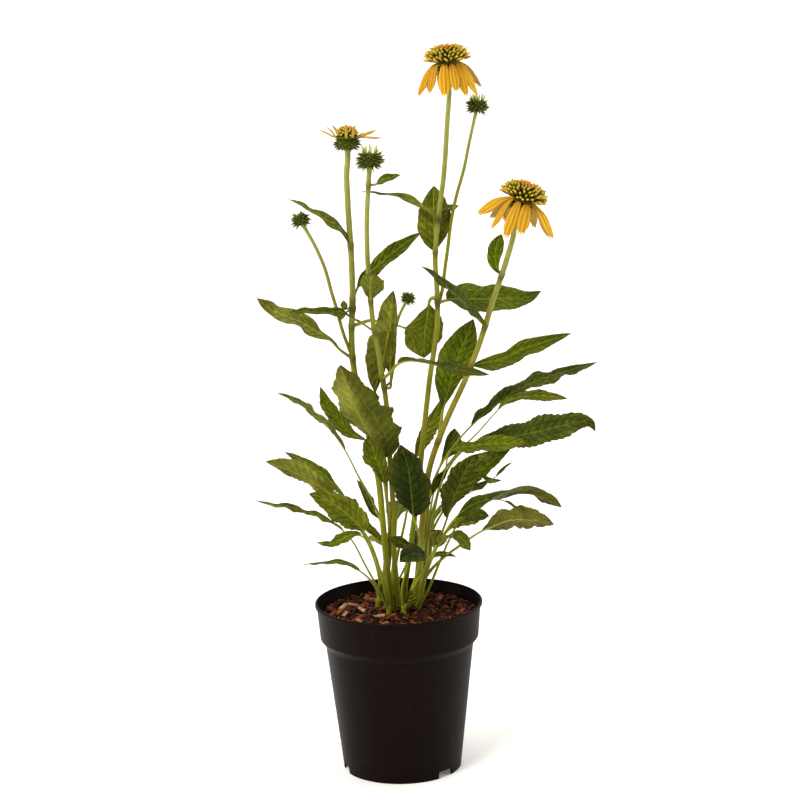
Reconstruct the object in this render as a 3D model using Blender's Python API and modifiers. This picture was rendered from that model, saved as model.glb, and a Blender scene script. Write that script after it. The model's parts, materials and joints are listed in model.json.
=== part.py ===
"""A coneflower plant with yellow blooms, standing in the bark of a round nursery pot.

Metres, +Z up. The origin is the middle of the flat disc under the pot, the plant's front looks
along -Y, and every table below is in millimetres.
"""
import math
import random
from dataclasses import dataclass, replace

import bmesh
import bpy
from mathutils import Vector

MM = 0.001
GAP = 0.3

# Driving sizes of the pot
POT_HEIGHT = 175.0
RIM_RADIUS = 85.0
BASE_RADIUS = 60.0
WALL = 1.6
BAND_FOOT = 140.0
BAND_STEP = 5.5
SHOULDER = 131.0
FLOOR_LIFT = 8.0
DISC_RADIUS = 32.0
POT_SIDES = 36
NOTCH_WIDTH = 19.0
NOTCH_ANGLES = (46, -74, 166)
DRAIN_HOLES = 6
DRAIN_RADIUS = 4.5

# Driving sizes of the soil and of what stands in it
SOIL_LEVEL = 163.0
HOLE_FOOT = 138.0
CROWN_RADIUS = 5.0
CROWN_TOP = 173.0
CHIP_COUNT = 18
CHIP_SIZE = (18.0, 7.0, 3.0)

# Flower heads
COLLAR_HEIGHT = 3.7
RISING_ROOT = 11.2
GOLDEN_ANGLE = math.pi * (3 - math.sqrt(5))

# Stems and leaves
STEM_STEP = 36.0
BRANCH_STEP = 26.0
CURVE_STEPS = 8
STALK_STEP = 55.0
BLADE_STEP = 13.0
EDGE_HALF = 0.32
RIB_HALF = 0.8

# The nodes whose Boolean union the default solver leaves open
SOLVERS = {"rays_left": "MANIFOLD", "rosette_left": "MANIFOLD", "rosette_front": "MANIFOLD",
           "rosette_right": "MANIFOLD", "rosette_back": "MANIFOLD",
           "rosette_back_right": "MANIFOLD"}

GREEN = (0.12, 0.20, 0.04, 1)
DARK_GREEN = (0.06, 0.12, 0.03, 1)
YELLOW = (0.80, 0.45, 0.03, 1)
AMBER = (0.42, 0.22, 0.02, 1)
BARK = (0.11, 0.05, 0.03, 1)
BLACK = (0.02, 0.018, 0.017, 1)


@dataclass
class Leaf:
    """A leaf along its spine: the blade starts at spine point blade_from, and face is the
    direction its upper side looks, which may turn towards tip_face. Left and right, looking
    from its root to its tip, each give a half width and the share of the blade it lies at."""
    spine: list
    left: tuple
    right: tuple
    blade_from: int
    face: tuple
    tip_face: tuple = None
    ripple: float = 1.5
    waves: int = 2
    on_branch: bool = False


@dataclass
class Head:
    """A flower head: base is the middle of the cone's flat underside, axis points up it."""
    base: tuple
    axis: tuple
    cone_radius: float
    cone_height: float
    florets: int
    floret: float
    rays: list
    cup: tuple = (8.0, 3.6, 7.0)
    collar: float = 10.0


@dataclass
class Bud:
    """A round bud with bracts: its radius is the body's, without the bracts."""
    centre: tuple
    axis: tuple
    radius: float
    bract: float


@dataclass
class Ray:
    """A ray floret in its head's frame: azimuth in degrees, then (distance out, height)."""
    azimuth: float
    path: list
    width: float


@dataclass
class Stem:
    """A stem's path above the soil, its radius at the foot and at the top."""
    path: list
    foot_radius: float
    top_radius: float


STEMS = {
    "stem_tall": Stem([(6, 30, 163), (14, 27, 225), (21, 24, 273), (30, 18, 347), (37, 15, 401),
                       (46, 12, 461), (46, 11, 496), (45, 11, 519), (49, 10, 564),
                       (55, 10, 603), (60, 10, 660)], 2.9, 2.3),
    "stem_right": Stem([(18, 22, 163), (22, 18, 212), (27, 13, 260), (37, 7, 319), (44, 4, 339),
                        (53, 2, 361), (72, -2, 402), (88, -4, 442), (101, -5, 482),
                        (115, -6, 522), (123, -7, 552)], 3.1, 2.7),
    "stem_left": Stem([(-8, 8, 163), (-11, 6, 211), (-14, 4, 258), (-17, 4, 300), (-24, 5, 338),
                       (-33, 6, 382), (-39, 6, 418), (-40, 7, 449), (-38, 8, 484),
                       (-38, 8, 524), (-40, 8, 584), (-40, 8, 614)], 3.2, 2.8),
    "stem_middle": Stem([(0, 14, 163), (-3, 12, 214), (-3, 10, 267), (-5, 9, 319), (-8, 6, 387),
                         (-11, 4, 410), (-14, 2, 434), (-18, -1, 460), (-20, -3, 485),
                         (-22, -5, 546), (-21, -5, 575), (-19, -5, 600)], 2.8, 2.3),
}

BRANCHES = {
    "stem_tall": Stem([(47, 12, 474), (51, 15, 488), (54, 17, 507), (58, 19, 532), (62, 20, 559),
                       (68, 20, 585), (75, 20, 608), (82, 20, 639)], 1.8, 1.5),
    "stem_left": Stem([(-41, 6, 424), (-49, 5, 454), (-54, 3, 476), (-59, 2, 495), (-64, 1, 516),
                       (-72, 0, 537)], 1.7, 1.7),
    "stem_middle": Stem([(-8, 5, 395), (-3, 13, 398), (0, 22, 407), (2, 34, 422), (1, 37, 437),
                         (5, 34, 453), (8, 29, 463)], 1.3, 1.4),
}

# The bud that ends a stem, or a stem's branch
STEM_BUDS = {"stem_middle": Bud((-17, -5, 624), (0, 0, 1), 9.5, 4.5)}
BRANCH_BUDS = {
    "stem_tall": Bud((90, 20, 672), (0.1, 0, 1), 7.5, 3.5),
    "stem_left": Bud((-87, 0, 566), (-0.3, 0, 1), 6.5, 3.0),
    "stem_middle": Bud((17, 20, 482), (0.3, 0, 1), 5.0, 3.0),
}

CROWNS = {
    "rosette_left": (-21, 20),
    "rosette_front_left": (-10, -5),
    "rosette_front": (5, -6),
    "rosette_right": (20, 3),
    "rosette_back_right": (23, 36),
    "rosette_back": (-8, 40),
}

LEAVES = {
    "stem_tall": (
        # Tall back
        Leaf([(46, 10, 532), (45, 18, 544), (45, 26, 559), (45, 33, 575), (46, 38, 592)],
              (17, 0.4), (17, 0.5), 0, (0, -10, 3)),
        # Tall small right
        Leaf([(49, 10, 565), (53, 20, 570), (59, 28, 570), (65, 33, 571), (70, 37, 572)],
              (6, 0.5), (8, 0.35), 0, (0, -6, 8)),
        # Tall small left
        Leaf([(47, 10, 565), (37, 13, 573), (27, 15, 579), (12, 16, 585), (-6, 18, 588),
              (-26, 20, 591)], (7, 0.35), (5, 0.3), 0, (0, -3, 10)),
        # Tall round
        Leaf([(46, 12, 481), (40, 20, 481), (38, 26, 475), (36, 31, 460), (33, 35, 439),
              (32, 36, 418)], (18, 0.45), (21, 0.6), 2, (0, -10, 2)),
        # Tall wide
        Leaf([(47, 12, 478), (56, 24, 479), (74, 32, 478), (100, 38, 476), (120, 43, 476),
              (138, 47, 476), (152, 50, 481)], (17, 0.3), (19, 0.4), 1, (0, -7, 7)),
    ),
    "stem_right": (
        # Right small
        Leaf([(107, -6, 506), (105, -3, 516), (104, 1, 525), (106, 5, 536), (111, 8, 546)],
              (8, 0.5), (8, 0.65), 0, (0, -10, 4)),
        # Right dark
        Leaf([(90, -4, 456), (83, -14, 470), (73, -22, 483), (62, -30, 495), (52, -36, 505),
              (43, -40, 514), (31, -44, 524)], (14, 0.4), (12, 0.3), 0, (0, -5, 9)),
        # Right wavy
        Leaf([(81, -3, 414), (91, 2, 418), (102, 6, 419), (115, 10, 422), (128, 14, 428),
              (143, 17, 432), (158, 19, 436), (180, 22, 442)], (8, 0.5), (13, 0.35), 0, (0, -7, 7)),
        # Right large
        Leaf([(44, 4, 339), (47, 6, 356), (49, 8, 369), (54, 11, 384), (60, 14, 405),
              (68, 17, 427), (75, 19, 442), (82, 21, 459)], (19, 0.5), (14, 0.6), 2, (0, -10, 3)),
    ),
    "stem_left": (
        # Left narrow
        Leaf([(-39, 8, 542), (-46, 3, 554), (-55, -1, 563), (-63, -3, 567), (-70, -6, 573),
              (-78, -9, 578), (-86, -12, 584), (-97, -15, 589)], (9, 0.4), (6, 0.4), 0, (0, -5, 9)),
        # Left cross
        Leaf([(-37, 8, 486), (-34, 13, 493), (-29, 17, 501), (-19, 20, 510), (-5, 24, 522),
              (12, 27, 534), (32, 29, 547)], (8, 0.5), (9, 0.5), 1, (3, -6, 8)),
        # Left low
        Leaf([(-42, 6, 424), (-51, 2, 435), (-60, -3, 446), (-73, -8, 455), (-88, -13, 466),
              (-103, -19, 474), (-118, -24, 482), (-131, -28, 494)],
              (18, 0.6), (12, 0.6), 1, (0, -5, 9)),
        # Left axil up
        Leaf([(-39, 8, 475), (-43, 4, 476), (-46, 1, 479), (-47, -1, 485)],
              (4, 0.5), (4, 0.4), 1, (0, -8, 6), ripple=0, waves=1),
        # Left axil down
        Leaf([(-39, 8, 477), (-44, 4, 473), (-48, 1, 469), (-52, -2, 464)],
              (2, 0.4), (4, 0.5), 1, (0, -8, 6), ripple=0, waves=1),
        # Left hanging
        Leaf([(-38, 8, 458), (-30, 12, 460), (-20, 14, 462), (-10, 16, 458), (-4, 16, 451),
              (-6, 15, 436), (-10, 14, 420), (-15, 12, 403), (-18, 11, 388)],
              (19, 0.3), (6, 0.4), 4, (0, 10, 1)),
    ),
    "stem_middle": (
        # Middle small
        Leaf([(-17, -5, 601), (-12, -8, 601), (-4, -11, 606), (4, -13, 608), (12, -15, 610)],
              (5, 0.5), (7, 0.45), 1, (0, -6, 8), ripple=0.5, waves=1),
        # Middle clasp
        Leaf([(-21, -3, 486), (-20, -14, 497), (-19, -25, 508), (-17, -33, 517)],
              (14, 0.45), (11, 0.6), 0, (0, 8, 6)),
        # Middle upright
        Leaf([(-8, 5, 395), (-3, 14, 393), (-2, 23, 400), (-2, 30, 416), (-2, 31, 433),
              (-1, 30, 451), (1, 27, 469), (3, 22, 490)], (7, 0.5), (15, 0.55), 2, (0, 10, 2)),
        # Middle arch
        Leaf([(-7, 4, 404), (-2, -4, 413), (5, -12, 422), (16, -20, 427), (29, -28, 427),
              (47, -38, 424), (68, -47, 420), (94, -54, 417)],
              (12, 0.35), (14, 0.45), 2, (0, 6, 8), tip_face=(0, -6, 8)),
        # Middle dark cross
        Leaf([(-21, -1, 453), (-29, -10, 464), (-39, -18, 471), (-48, -24, 478), (-60, -30, 478),
              (-74, -37, 481), (-87, -42, 482), (-98, -47, 483)],
              (9, 0.5), (7, 0.6), 1, (0, -4, 9), ripple=1),
        # Middle sickle
        Leaf([(5, 34, 453), (10, 25, 453), (17, 18, 450), (23, 14, 445), (30, 9, 433)],
              (2, 0.4), (3, 0.6), 1, (0, -3, 9), ripple=0, waves=1, on_branch=True),
    ),
    "rosette_left": (
        # Upper left, long
        Leaf([(-21, 20, 166), (-12, 17, 202), (-13, 12, 246), (-24, 4, 280), (-37, -6, 308),
              (-49, -15, 336), (-62, -23, 358), (-79, -31, 376), (-96, -38, 392), (-113, -43, 402)],
              (14, 0.55), (11, 0.4), 5, (-2, -3, 9), ripple=1, waves=3),
        # Upper left, small
        Leaf([(-21, 20, 166), (-10, 20, 212), (-10, 22, 275), (-16, 24, 311), (-28, 28, 335),
              (-43, 33, 342), (-55, 37, 355), (-66, 41, 370), (-74, 45, 389)],
              (10, 0.5), (7, 0.5), 4, (-2, -6, 8), ripple=1),
        # Left, broad and upright
        Leaf([(-21, 20, 166), (-11, 20, 196), (-7, 19, 244), (-9, 13, 282), (-10, 0, 324),
              (-24, -14, 352), (-37, -25, 379), (-45, -31, 404), (-51, -36, 427)],
              (31, 0.35), (19, 0.65), 4, (3, 9, 2), ripple=2, waves=3),
        # Left, at the broad one's foot
        Leaf([(-21, 20, 166), (-12, 22, 196), (-9, 17, 229), (-7, 6, 266), (-11, -6, 296),
              (-15, -13, 314), (-20, -15, 330), (-26, -19, 351)],
              (12, 0.65), (10, 0.45), 4, (-2, -10, 3)),
        # Left, slender, behind
        Leaf([(-21, 20, 166), (-19, 24, 190), (-27, 28, 222), (-42, 38, 250), (-51, 44, 271),
              (-67, 51, 290), (-90, 59, 307), (-113, 67, 317)], (12, 0.5), (5, 0.55), 4, (0, -5, 9)),
        # Left, low and level
        Leaf([(-21, 20, 166), (-21, 22, 178), (-29, 26, 191), (-39, 33, 198), (-55, 42, 205),
              (-76, 49, 203), (-97, 56, 200)], (7, 0.4), (3, 0.3), 3, (0, -3, 10), ripple=0.5),
        # Left, narrow bract
        Leaf([(-21, 20, 166), (-13, 18, 213), (-13, 17, 239), (-18, 15, 257), (-25, 12, 270),
              (-32, 8, 286), (-39, 4, 301)], (4, 0.4), (9, 0.65), 3, (-6, -8, 2), ripple=1, waves=1),
        # Left, small, near the crown
        Leaf([(-21, 20, 166), (-14, 19, 210), (-13, 17, 226), (-20, 15, 239), (-28, 13, 249),
              (-34, 12, 261)], (5, 0.7), (4, 0.5), 2, (-3, -8, 6), ripple=1),
        # Left crown bract
        Leaf([(-21, 20, 166), (-17, 17, 171), (-16, 14, 182), (-14, 12, 192)],
              (5, 0.5), (5, 0.5), 1, (-2, -10, 3), ripple=0.5, waves=1),
    ),
    "rosette_front_left": (
        # Left, long, seen from below
        Leaf([(-10, -5, 166), (-13, -6, 188), (-22, -8, 220), (-37, -8, 255), (-56, -12, 284),
              (-77, -20, 303), (-103, -27, 319), (-128, -33, 331)], (14, 0.6), (10, 0.4), 4, (0, 9, 5)),
        # Front left, bright
        Leaf([(-10, -5, 166), (-13, -8, 186), (-19, -14, 213), (-26, -19, 238), (-33, -23, 254),
              (-49, -30, 274), (-61, -34, 285), (-73, -38, 294), (-86, -38, 298)],
              (15, 0.5), (16, 0.35), 4, (-3, -8, 6)),
        # Front left, wavy and level
        Leaf([(-10, -5, 166), (-19, -14, 190), (-33, -28, 223), (-44, -36, 248), (-53, -39, 260),
              (-72, -44, 274), (-89, -49, 282), (-105, -53, 289), (-120, -56, 292),
              (-138, -59, 298)], (9, 0.5), (5, 0.4), 4, (0, -3, 10), ripple=1, waves=3),
        # Front left, curling down
        Leaf([(-10, -5, 166), (-16, -20, 208), (-26, -32, 239), (-35, -40, 254), (-45, -45, 257),
              (-55, -50, 254), (-65, -56, 251), (-79, -61, 254)],
              (7, 0.5), (6, 0.35), 3, (0, -6, 8), ripple=1),
    ),
    "rosette_front": (
        # Front, dark and upright
        Leaf([(5, -6, 166), (14, -8, 188), (22, -10, 214), (23, -13, 241), (20, -17, 256),
              (17, -20, 267), (16, -22, 282), (15, -24, 299), (13, -24, 319), (6, -18, 341)],
              (21, 0.55), (20, 0.35), 5, (1, -10, 2)),
        # Front, small and folded
        Leaf([(5, -6, 166), (4, -10, 189), (10, -12, 215), (14, -15, 233), (5, -20, 240),
              (-7, -27, 248)], (7, 0.6), (6, 0.5), 3, (2, -10, 4), ripple=0.7, waves=1),
        # Front, glossy, curling over
        Leaf([(5, -6, 166), (13, -10, 188), (24, -14, 208), (30, -23, 226), (22, -32, 232),
              (13, -40, 234), (2, -48, 229)],
              (20, 0.65), (17, 0.25), 3, (0, -4, 9), ripple=0.5, waves=1),
        # Front crown bract
        Leaf([(5, -6, 166), (8, -12, 173), (11, -14, 181), (13, -16, 190)],
              (5, 0.5), (8, 0.45), 1, (0, -10, 4), ripple=0.5, waves=1),
    ),
    "rosette_right": (
        # Right, pale young leaf
        Leaf([(20, 3, 166), (26, -2, 196), (34, -8, 218), (37, -12, 230), (36, -16, 240),
              (33, -20, 253)], (12, 0.7), (4, 0.6), 3, (0, 9, 3), ripple=0.5, waves=1),
        # Right, arched young leaf
        Leaf([(20, 3, 166), (26, -6, 197), (33, -14, 218), (40, -21, 235), (47, -26, 246),
              (56, -30, 249), (65, -33, 247), (73, -35, 235)],
              (12, 0.3), (13, 0.5), 3, (-3, 8, 5), tip_face=(0, -7, 7), ripple=0.7, waves=1),
        # Right, small tongue
        Leaf([(20, 3, 166), (30, -3, 207), (34, -5, 219), (43, -8, 224), (59, -12, 223)],
              (4, 0.35), (3, 0.5), 2, (0, -6, 8), ripple=0, waves=1),
        # Right, low, seen from below
        Leaf([(20, 3, 166), (26, 2, 195), (43, -6, 218), (63, -14, 235), (84, -22, 251),
              (95, -27, 257), (113, -34, 265), (133, -39, 266), (156, -44, 262)],
              (21, 0.5), (17, 0.55), 4, (0, 8, 6), ripple=1, waves=3),
        # Right, wavy
        Leaf([(20, 3, 166), (31, 0, 214), (45, -6, 241), (59, -10, 262), (72, -14, 274),
              (89, -19, 282), (107, -25, 286), (121, -30, 291), (135, -34, 291), (150, -38, 286),
              (164, -42, 279)], (19, 0.6), (20, 0.5), 3, (0, -7, 7), tip_face=(0, 8, 6), ripple=1),
        # Right, dark and upright
        Leaf([(20, 3, 166), (29, 6, 204), (43, 5, 236), (51, 4, 258), (57, 2, 276), (64, -4, 295),
              (70, -10, 311), (82, -16, 329)], (17, 0.45), (15, 0.65), 3, (2, -9, 3)),
        # Right, short, near the crown
        Leaf([(20, 3, 166), (33, 8, 214), (43, 7, 232), (51, 3, 245), (60, 0, 253), (70, -4, 260),
              (81, -6, 264), (93, -8, 263)], (9, 0.6), (12, 0.65), 3, (0, -7, 7), ripple=1),
        # Right, small, under the wavy one
        Leaf([(20, 3, 166), (89, -19, 282), (99, -27, 285), (108, -35, 285), (118, -41, 279),
              (129, -47, 269)], (7, 0.5), (8, 0.5), 3, (0, 5, 9), ripple=0.5, waves=1, on_branch=True),
    ),
    "rosette_back_right": (
        # Back right, longest
        Leaf([(23, 36, 166), (27, 40, 195), (31, 42, 258), (41, 43, 294), (59, 48, 322),
              (79, 54, 343), (104, 60, 363), (135, 68, 380), (167, 76, 390), (191, 82, 395),
              (211, 88, 399)], (9, 0.35), (13, 0.6), 5, (0, -5, 9), ripple=2, waves=4),
        # Back right, seen over the others
        Leaf([(23, 36, 166), (30, 42, 205), (37, 36, 280), (61, 28, 318), (87, 20, 346),
              (104, 15, 366), (116, 11, 377), (129, 8, 381), (152, 4, 382), (174, 0, 380)],
              (7, 0.5), (8, 0.6), 5, (0, -6, 8), ripple=1),
        # Back right, broad, tip curled down
        Leaf([(23, 36, 166), (34, 44, 215), (39, 44, 257), (48, 40, 290), (63, 36, 315),
              (82, 31, 331), (107, 23, 336), (127, 15, 340), (148, 7, 346), (168, 0, 352),
              (187, -4, 357), (196, -5, 355), (201, -6, 347)], (15, 0.5), (16, 0.5), 5, (1, -9, 5)),
        # Back right, bright, narrow waist
        Leaf([(23, 36, 166), (28, 28, 209), (34, 20, 253), (45, 8, 292), (51, -2, 314),
              (54, -8, 329), (64, -14, 336), (77, -19, 338), (91, -24, 341), (109, -30, 343),
              (133, -36, 344)], (9, 0.55), (14, 0.55), 5, (0, -6, 8)),
        # Back right, dark
        Leaf([(23, 36, 166), (29, 38, 217), (45, 38, 253), (64, 36, 278), (74, 34, 288),
              (86, 33, 300), (100, 32, 311), (117, 30, 322)],
              (13, 0.45), (9, 0.3), 4, (0, -9, 5), ripple=1),
        # Back right, upright
        Leaf([(23, 36, 166), (27, 42, 205), (35, 48, 256), (43, 51, 292), (47, 53, 305),
              (54, 56, 319), (62, 60, 339)], (5, 0.6), (14, 0.6), 4, (0, -10, 4), ripple=1, waves=1),
        # Back right, young and folded
        Leaf([(23, 36, 166), (28, 33, 207), (38, 31, 250), (53, 26, 277), (68, 14, 301),
              (76, 7, 312), (82, 2, 322), (90, -2, 324), (99, -6, 321)],
              (3, 0.5), (13, 0.4), 5, (-2, -6, 8), ripple=0.4, waves=1),
        # Back right, young tip
        Leaf([(23, 36, 166), (38, 31, 250), (55, 26, 272), (71, 13, 289), (86, 3, 301),
              (95, -1, 299), (106, -5, 299)], (2, 0.4), (6, 0.6), 4, (0, -6, 8), ripple=0.4, waves=1),
        # Back right, young blade
        Leaf([(23, 36, 166), (53, 27, 272), (73, 18, 282), (91, 8, 293), (100, 3, 300),
              (109, -1, 310), (117, -5, 317)], (2, 0.5), (2, 0.5), 4, (0, -6, 8), ripple=0.3, waves=1),
        # Back right, small and dark
        Leaf([(23, 36, 166), (53, 27, 272), (66, 20, 277), (77, 15, 283), (85, 11, 289),
              (94, 8, 295)], (5, 0.4), (5, 0.6), 3, (0, -6, 8), ripple=0.4, waves=1),
        # Back right, small and low
        Leaf([(23, 36, 166), (28, 32, 208), (34, 28, 256), (38, 27, 277), (44, 27, 292),
              (53, 28, 303)], (6, 0.45), (4, 0.6), 3, (0, -9, 4), ripple=0.4, waves=1),
    ),
    "rosette_back": (
        # Back, upright
        Leaf([(-8, 40, 166), (-1, 46, 205), (9, 50, 246), (17, 51, 288), (22, 51, 311),
              (26, 50, 325), (32, 49, 339), (40, 48, 354), (48, 46, 372)],
              (6, 0.4), (11, 0.5), 4, (0, -10, 2), ripple=0.8, waves=1),
        # Back, long
        Leaf([(-8, 40, 166), (-6, 52, 187), (-3, 74, 213), (0, 100, 233), (4, 124, 243),
              (7, 146, 243)], (15, 0.45), (15, 0.45), 3, (0, 8, 7)),
        # Back, short
        Leaf([(-8, 40, 166), (0, 50, 182), (11, 66, 199), (21, 86, 209), (26, 106, 215),
              (29, 126, 213)], (13, 0.45), (13, 0.45), 3, (2, 6, 8)),
        # Back, shortest
        Leaf([(-8, 40, 166), (-10, 50, 182), (-12, 64, 200), (-15, 82, 211), (-18, 98, 215),
              (-20, 114, 211)], (12, 0.45), (12, 0.45), 3, (-2, 6, 8)),
    ),
}


def drooping_ray(azimuth, out, drop, width):
    """An old ray that leaves its collar level and hangs: its tip's distance out and down."""
    reach = out - 12
    path = [(8, -2), (12, -2.6), (12 + 0.30 * reach, -2.6 - 0.14 * drop),
            (12 + 0.66 * reach, -2.6 - 0.52 * drop), (out, -2.6 - drop)]
    return Ray(azimuth, path, width)


def rising_ray(azimuth, rise, length, width):
    """A young ray that stands out of its head at an angle above the collar."""
    slope = math.radians(rise)
    path = [(6, -2), (RISING_ROOT, -1.8),
            (RISING_ROOT + 0.5 * length * math.cos(slope), 0.5 * length * math.sin(slope) - 1),
            (RISING_ROOT + length * math.cos(slope), length * math.sin(slope) - 1)]
    return Ray(azimuth, path, width)


HEADS = {
    "stem_tall": Head((61, 10, 718), (-0.06, -0.03, 1), 15.5, 13.5, 72, 9.0,
                      [drooping_ray(182, 31, 30, 8), drooping_ray(142, 27, 27, 8),
                       drooping_ray(112, 24, 26, 7), drooping_ray(-106, 20, 31, 12),
                       drooping_ray(-72, 21, 27, 9), drooping_ray(-40, 21, 33, 9),
                       drooping_ray(-10, 27, 34, 10), drooping_ray(22, 34, 28, 7),
                       drooping_ray(52, 27, 29, 9), drooping_ray(82, 24, 27, 9),
                       drooping_ray(-148, 24, 27, 7)]),
    "stem_right": Head((132, -8, 583), (0.32, -0.05, 0.94), 16.5, 15.0, 72, 9.5,
                       [drooping_ray(180, 38, 26, 11), drooping_ray(-150, 25, 34, 6),
                        drooping_ray(-110, 19, 38, 11), drooping_ray(-68, 19, 30, 13),
                        drooping_ray(42, 30, 26, 9), drooping_ray(-20, 42, 25, 11),
                        drooping_ray(12, 39, 29, 10), drooping_ray(75, 26, 29, 10),
                        drooping_ray(108, 26, 29, 10), drooping_ray(144, 28, 29, 11)]),
    "stem_left": Head((-39, 8, 648), (0, -0.03, 1), 8.2, 8.0, 32, 2.0,
                      [rising_ray(176, 22, 17, 3.2), rising_ray(205, 46, 15, 3.0),
                       rising_ray(268, 74, 15, 3.0), rising_ray(300, 64, 14, 3.0),
                       rising_ray(335, 30, 9, 3.0), rising_ray(8, 14, 18, 5.0),
                       rising_ray(-14, -4, 24, 5.0), rising_ray(95, 50, 12, 3.0),
                       rising_ray(135, 45, 13, 3.0)], cup=(11.0, 6.5, 4.0), collar=10.5),
}


class Path:
    """A smooth curve through its points, read by the distance along it."""

    def __init__(self, points):
        knots = [Vector(p) for p in points]
        gaps = [(b - a).length for a, b in zip(knots, knots[1:])]
        chords = [(b - a) / gap for a, b, gap in zip(knots, knots[1:], gaps)]
        slopes = [chords[0]]
        for i in range(1, len(chords)):
            mixed = gaps[i] * chords[i - 1] + gaps[i - 1] * chords[i]
            slopes.append(mixed / (gaps[i] + gaps[i - 1]))
        slopes.append(chords[-1])
        self.points = []
        for i, gap in enumerate(gaps):
            for k in range(CURVE_STEPS):
                t = k / CURVE_STEPS
                self.points.append(
                    knots[i] * (2 * t ** 3 - 3 * t ** 2 + 1)
                    + slopes[i] * gap * (t ** 3 - 2 * t ** 2 + t)
                    + knots[i + 1] * (3 * t ** 2 - 2 * t ** 3)
                    + slopes[i + 1] * gap * (t ** 3 - t ** 2))
        self.points.append(knots[-1])
        self.reach = [0.0]
        for a, b in zip(self.points, self.points[1:]):
            self.reach.append(self.reach[-1] + (b - a).length)
        self.length = self.reach[-1]

    def knot(self, index):
        """The distance along the curve at one of the points it was made from."""
        return self.reach[index * CURVE_STEPS]

    def nearest(self, place):
        """The point of the curve that lies closest to a place."""
        return min(self.points, key=lambda point: (point - Vector(place)).length)

    def at(self, distance):
        """The place and the direction at a distance along the curve."""
        i = 0
        while i < len(self.reach) - 2 and self.reach[i + 1] < distance:
            i += 1
        step = self.points[i + 1] - self.points[i]
        share = (distance - self.reach[i]) / (self.reach[i + 1] - self.reach[i])
        return self.points[i] + step * share, step.normalized()


def clear_scene():
    for obj in list(bpy.data.objects):
        bpy.data.objects.remove(obj, do_unlink=True)


def new_collection(name):
    collection = bpy.data.collections.new(name)
    bpy.context.scene.collection.children.link(collection)
    return collection


def material(name, color, roughness):
    mat = bpy.data.materials.new(name)
    mat.use_nodes = True
    shader = mat.node_tree.nodes["Principled BSDF"]
    shader.inputs["Base Color"].default_value = color
    shader.inputs["Roughness"].default_value = roughness
    return mat


def object_from(bm, name, collection):
    """Close off a bmesh in millimetres as an object in metres, its faces pointing out."""
    bmesh.ops.scale(bm, vec=(MM, MM, MM), verts=bm.verts)
    bmesh.ops.recalc_face_normals(bm, faces=bm.faces)
    mesh = bpy.data.meshes.new(name)
    bm.to_mesh(mesh)
    bm.free()
    obj = bpy.data.objects.new(name, mesh)
    collection.objects.link(obj)
    return obj


def bake(obj):
    """Replace an object's data by its evaluated mesh, without modifiers."""
    depsgraph = bpy.context.evaluated_depsgraph_get()
    mesh = bpy.data.meshes.new_from_object(obj.evaluated_get(depsgraph), depsgraph=depsgraph)
    if obj.type == "CURVE":
        solid = bpy.data.objects.new(obj.name, mesh)
        obj.users_collection[0].objects.link(solid)
        solid.matrix_world = obj.matrix_world
        name = obj.name
        bpy.data.objects.remove(obj, do_unlink=True)
        solid.name = name
    else:
        solid = obj
        solid.modifiers.clear()
        solid.data = mesh
    bm = bmesh.new()
    bm.from_mesh(mesh)
    bmesh.ops.remove_doubles(bm, verts=bm.verts, dist=1e-7)
    bmesh.ops.dissolve_degenerate(bm, edges=bm.edges, dist=1e-7)
    bm.to_mesh(mesh)
    bm.free()
    return solid


def combine(obj, others, operation, solver="EXACT"):
    """Join a collection's objects to an object, or cut them from it, and remove them."""
    bpy.context.view_layer.update()
    modifier = obj.modifiers.new(operation.lower(), "BOOLEAN")
    modifier.operation = operation
    modifier.operand_type = "COLLECTION"
    modifier.collection = others
    modifier.solver = solver
    bake(obj)
    for other in list(others.objects):
        bpy.data.objects.remove(other, do_unlink=True)
    bpy.data.collections.remove(others)
    return obj


def shade(obj, mat, angle=math.radians(40)):
    obj.data.materials.clear()
    obj.data.materials.append(mat)
    obj.data.shade_smooth()
    obj.data.set_sharp_from_angle(angle=angle)


def turned(name, profile, sides, collection):
    """A closed outline of (radius, height) in millimetres, turned round the Z axis."""
    mesh = bpy.data.meshes.new(name)
    verts = [(r * MM, 0, z * MM) for r, z in profile]
    edges = [(i, i + 1) for i in range(len(verts) - 1)]
    if profile[0][0] > 0:
        edges.append((len(verts) - 1, 0))
    mesh.from_pydata(verts, edges, [])
    obj = bpy.data.objects.new(name, mesh)
    collection.objects.link(obj)
    screw = obj.modifiers.new("turn", "SCREW")
    screw.steps = sides
    screw.render_steps = sides
    screw.use_merge_vertices = True
    screw.merge_threshold = 0.00001
    return bake(obj)


def tube(name, path, radii, step, collection, resolution=2):
    """A round stem along a path, thinning from the first radius to the second."""
    curve = bpy.data.curves.new(name, "CURVE")
    curve.dimensions = "3D"
    curve.bevel_depth = MM
    curve.bevel_resolution = resolution
    curve.use_fill_caps = True
    spline = curve.splines.new("POLY")
    count = max(2, round(path.length / step) + 1)
    spline.points.add(count - 1)
    for i, point in enumerate(spline.points):
        share = i / (count - 1)
        place, _ = path.at(share * path.length)
        point.co = (*(place * MM), 1)
        point.radius = radii[0] + (radii[1] - radii[0]) * share
    obj = bpy.data.objects.new(name, curve)
    collection.objects.link(obj)
    bpy.context.view_layer.update()
    return bake(obj)


def half_width(side, t):
    """One side of a lance-shaped blade: a half width and where along the blade it lies."""
    half, widest = side
    return max(0.5, half * (t / widest) ** (widest / (1 - widest)) * (1 - t) / (1 - widest))


def ray_outline(t):
    """Half width of a ray floret: narrow at its root, widest past the middle, blunt tip."""
    if t < 0.6:
        return 0.3 + 0.7 * math.sin(math.pi / 2 * t / 0.6)
    return 1 - 0.45 * ((t - 0.6) / 0.4) ** 2


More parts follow.
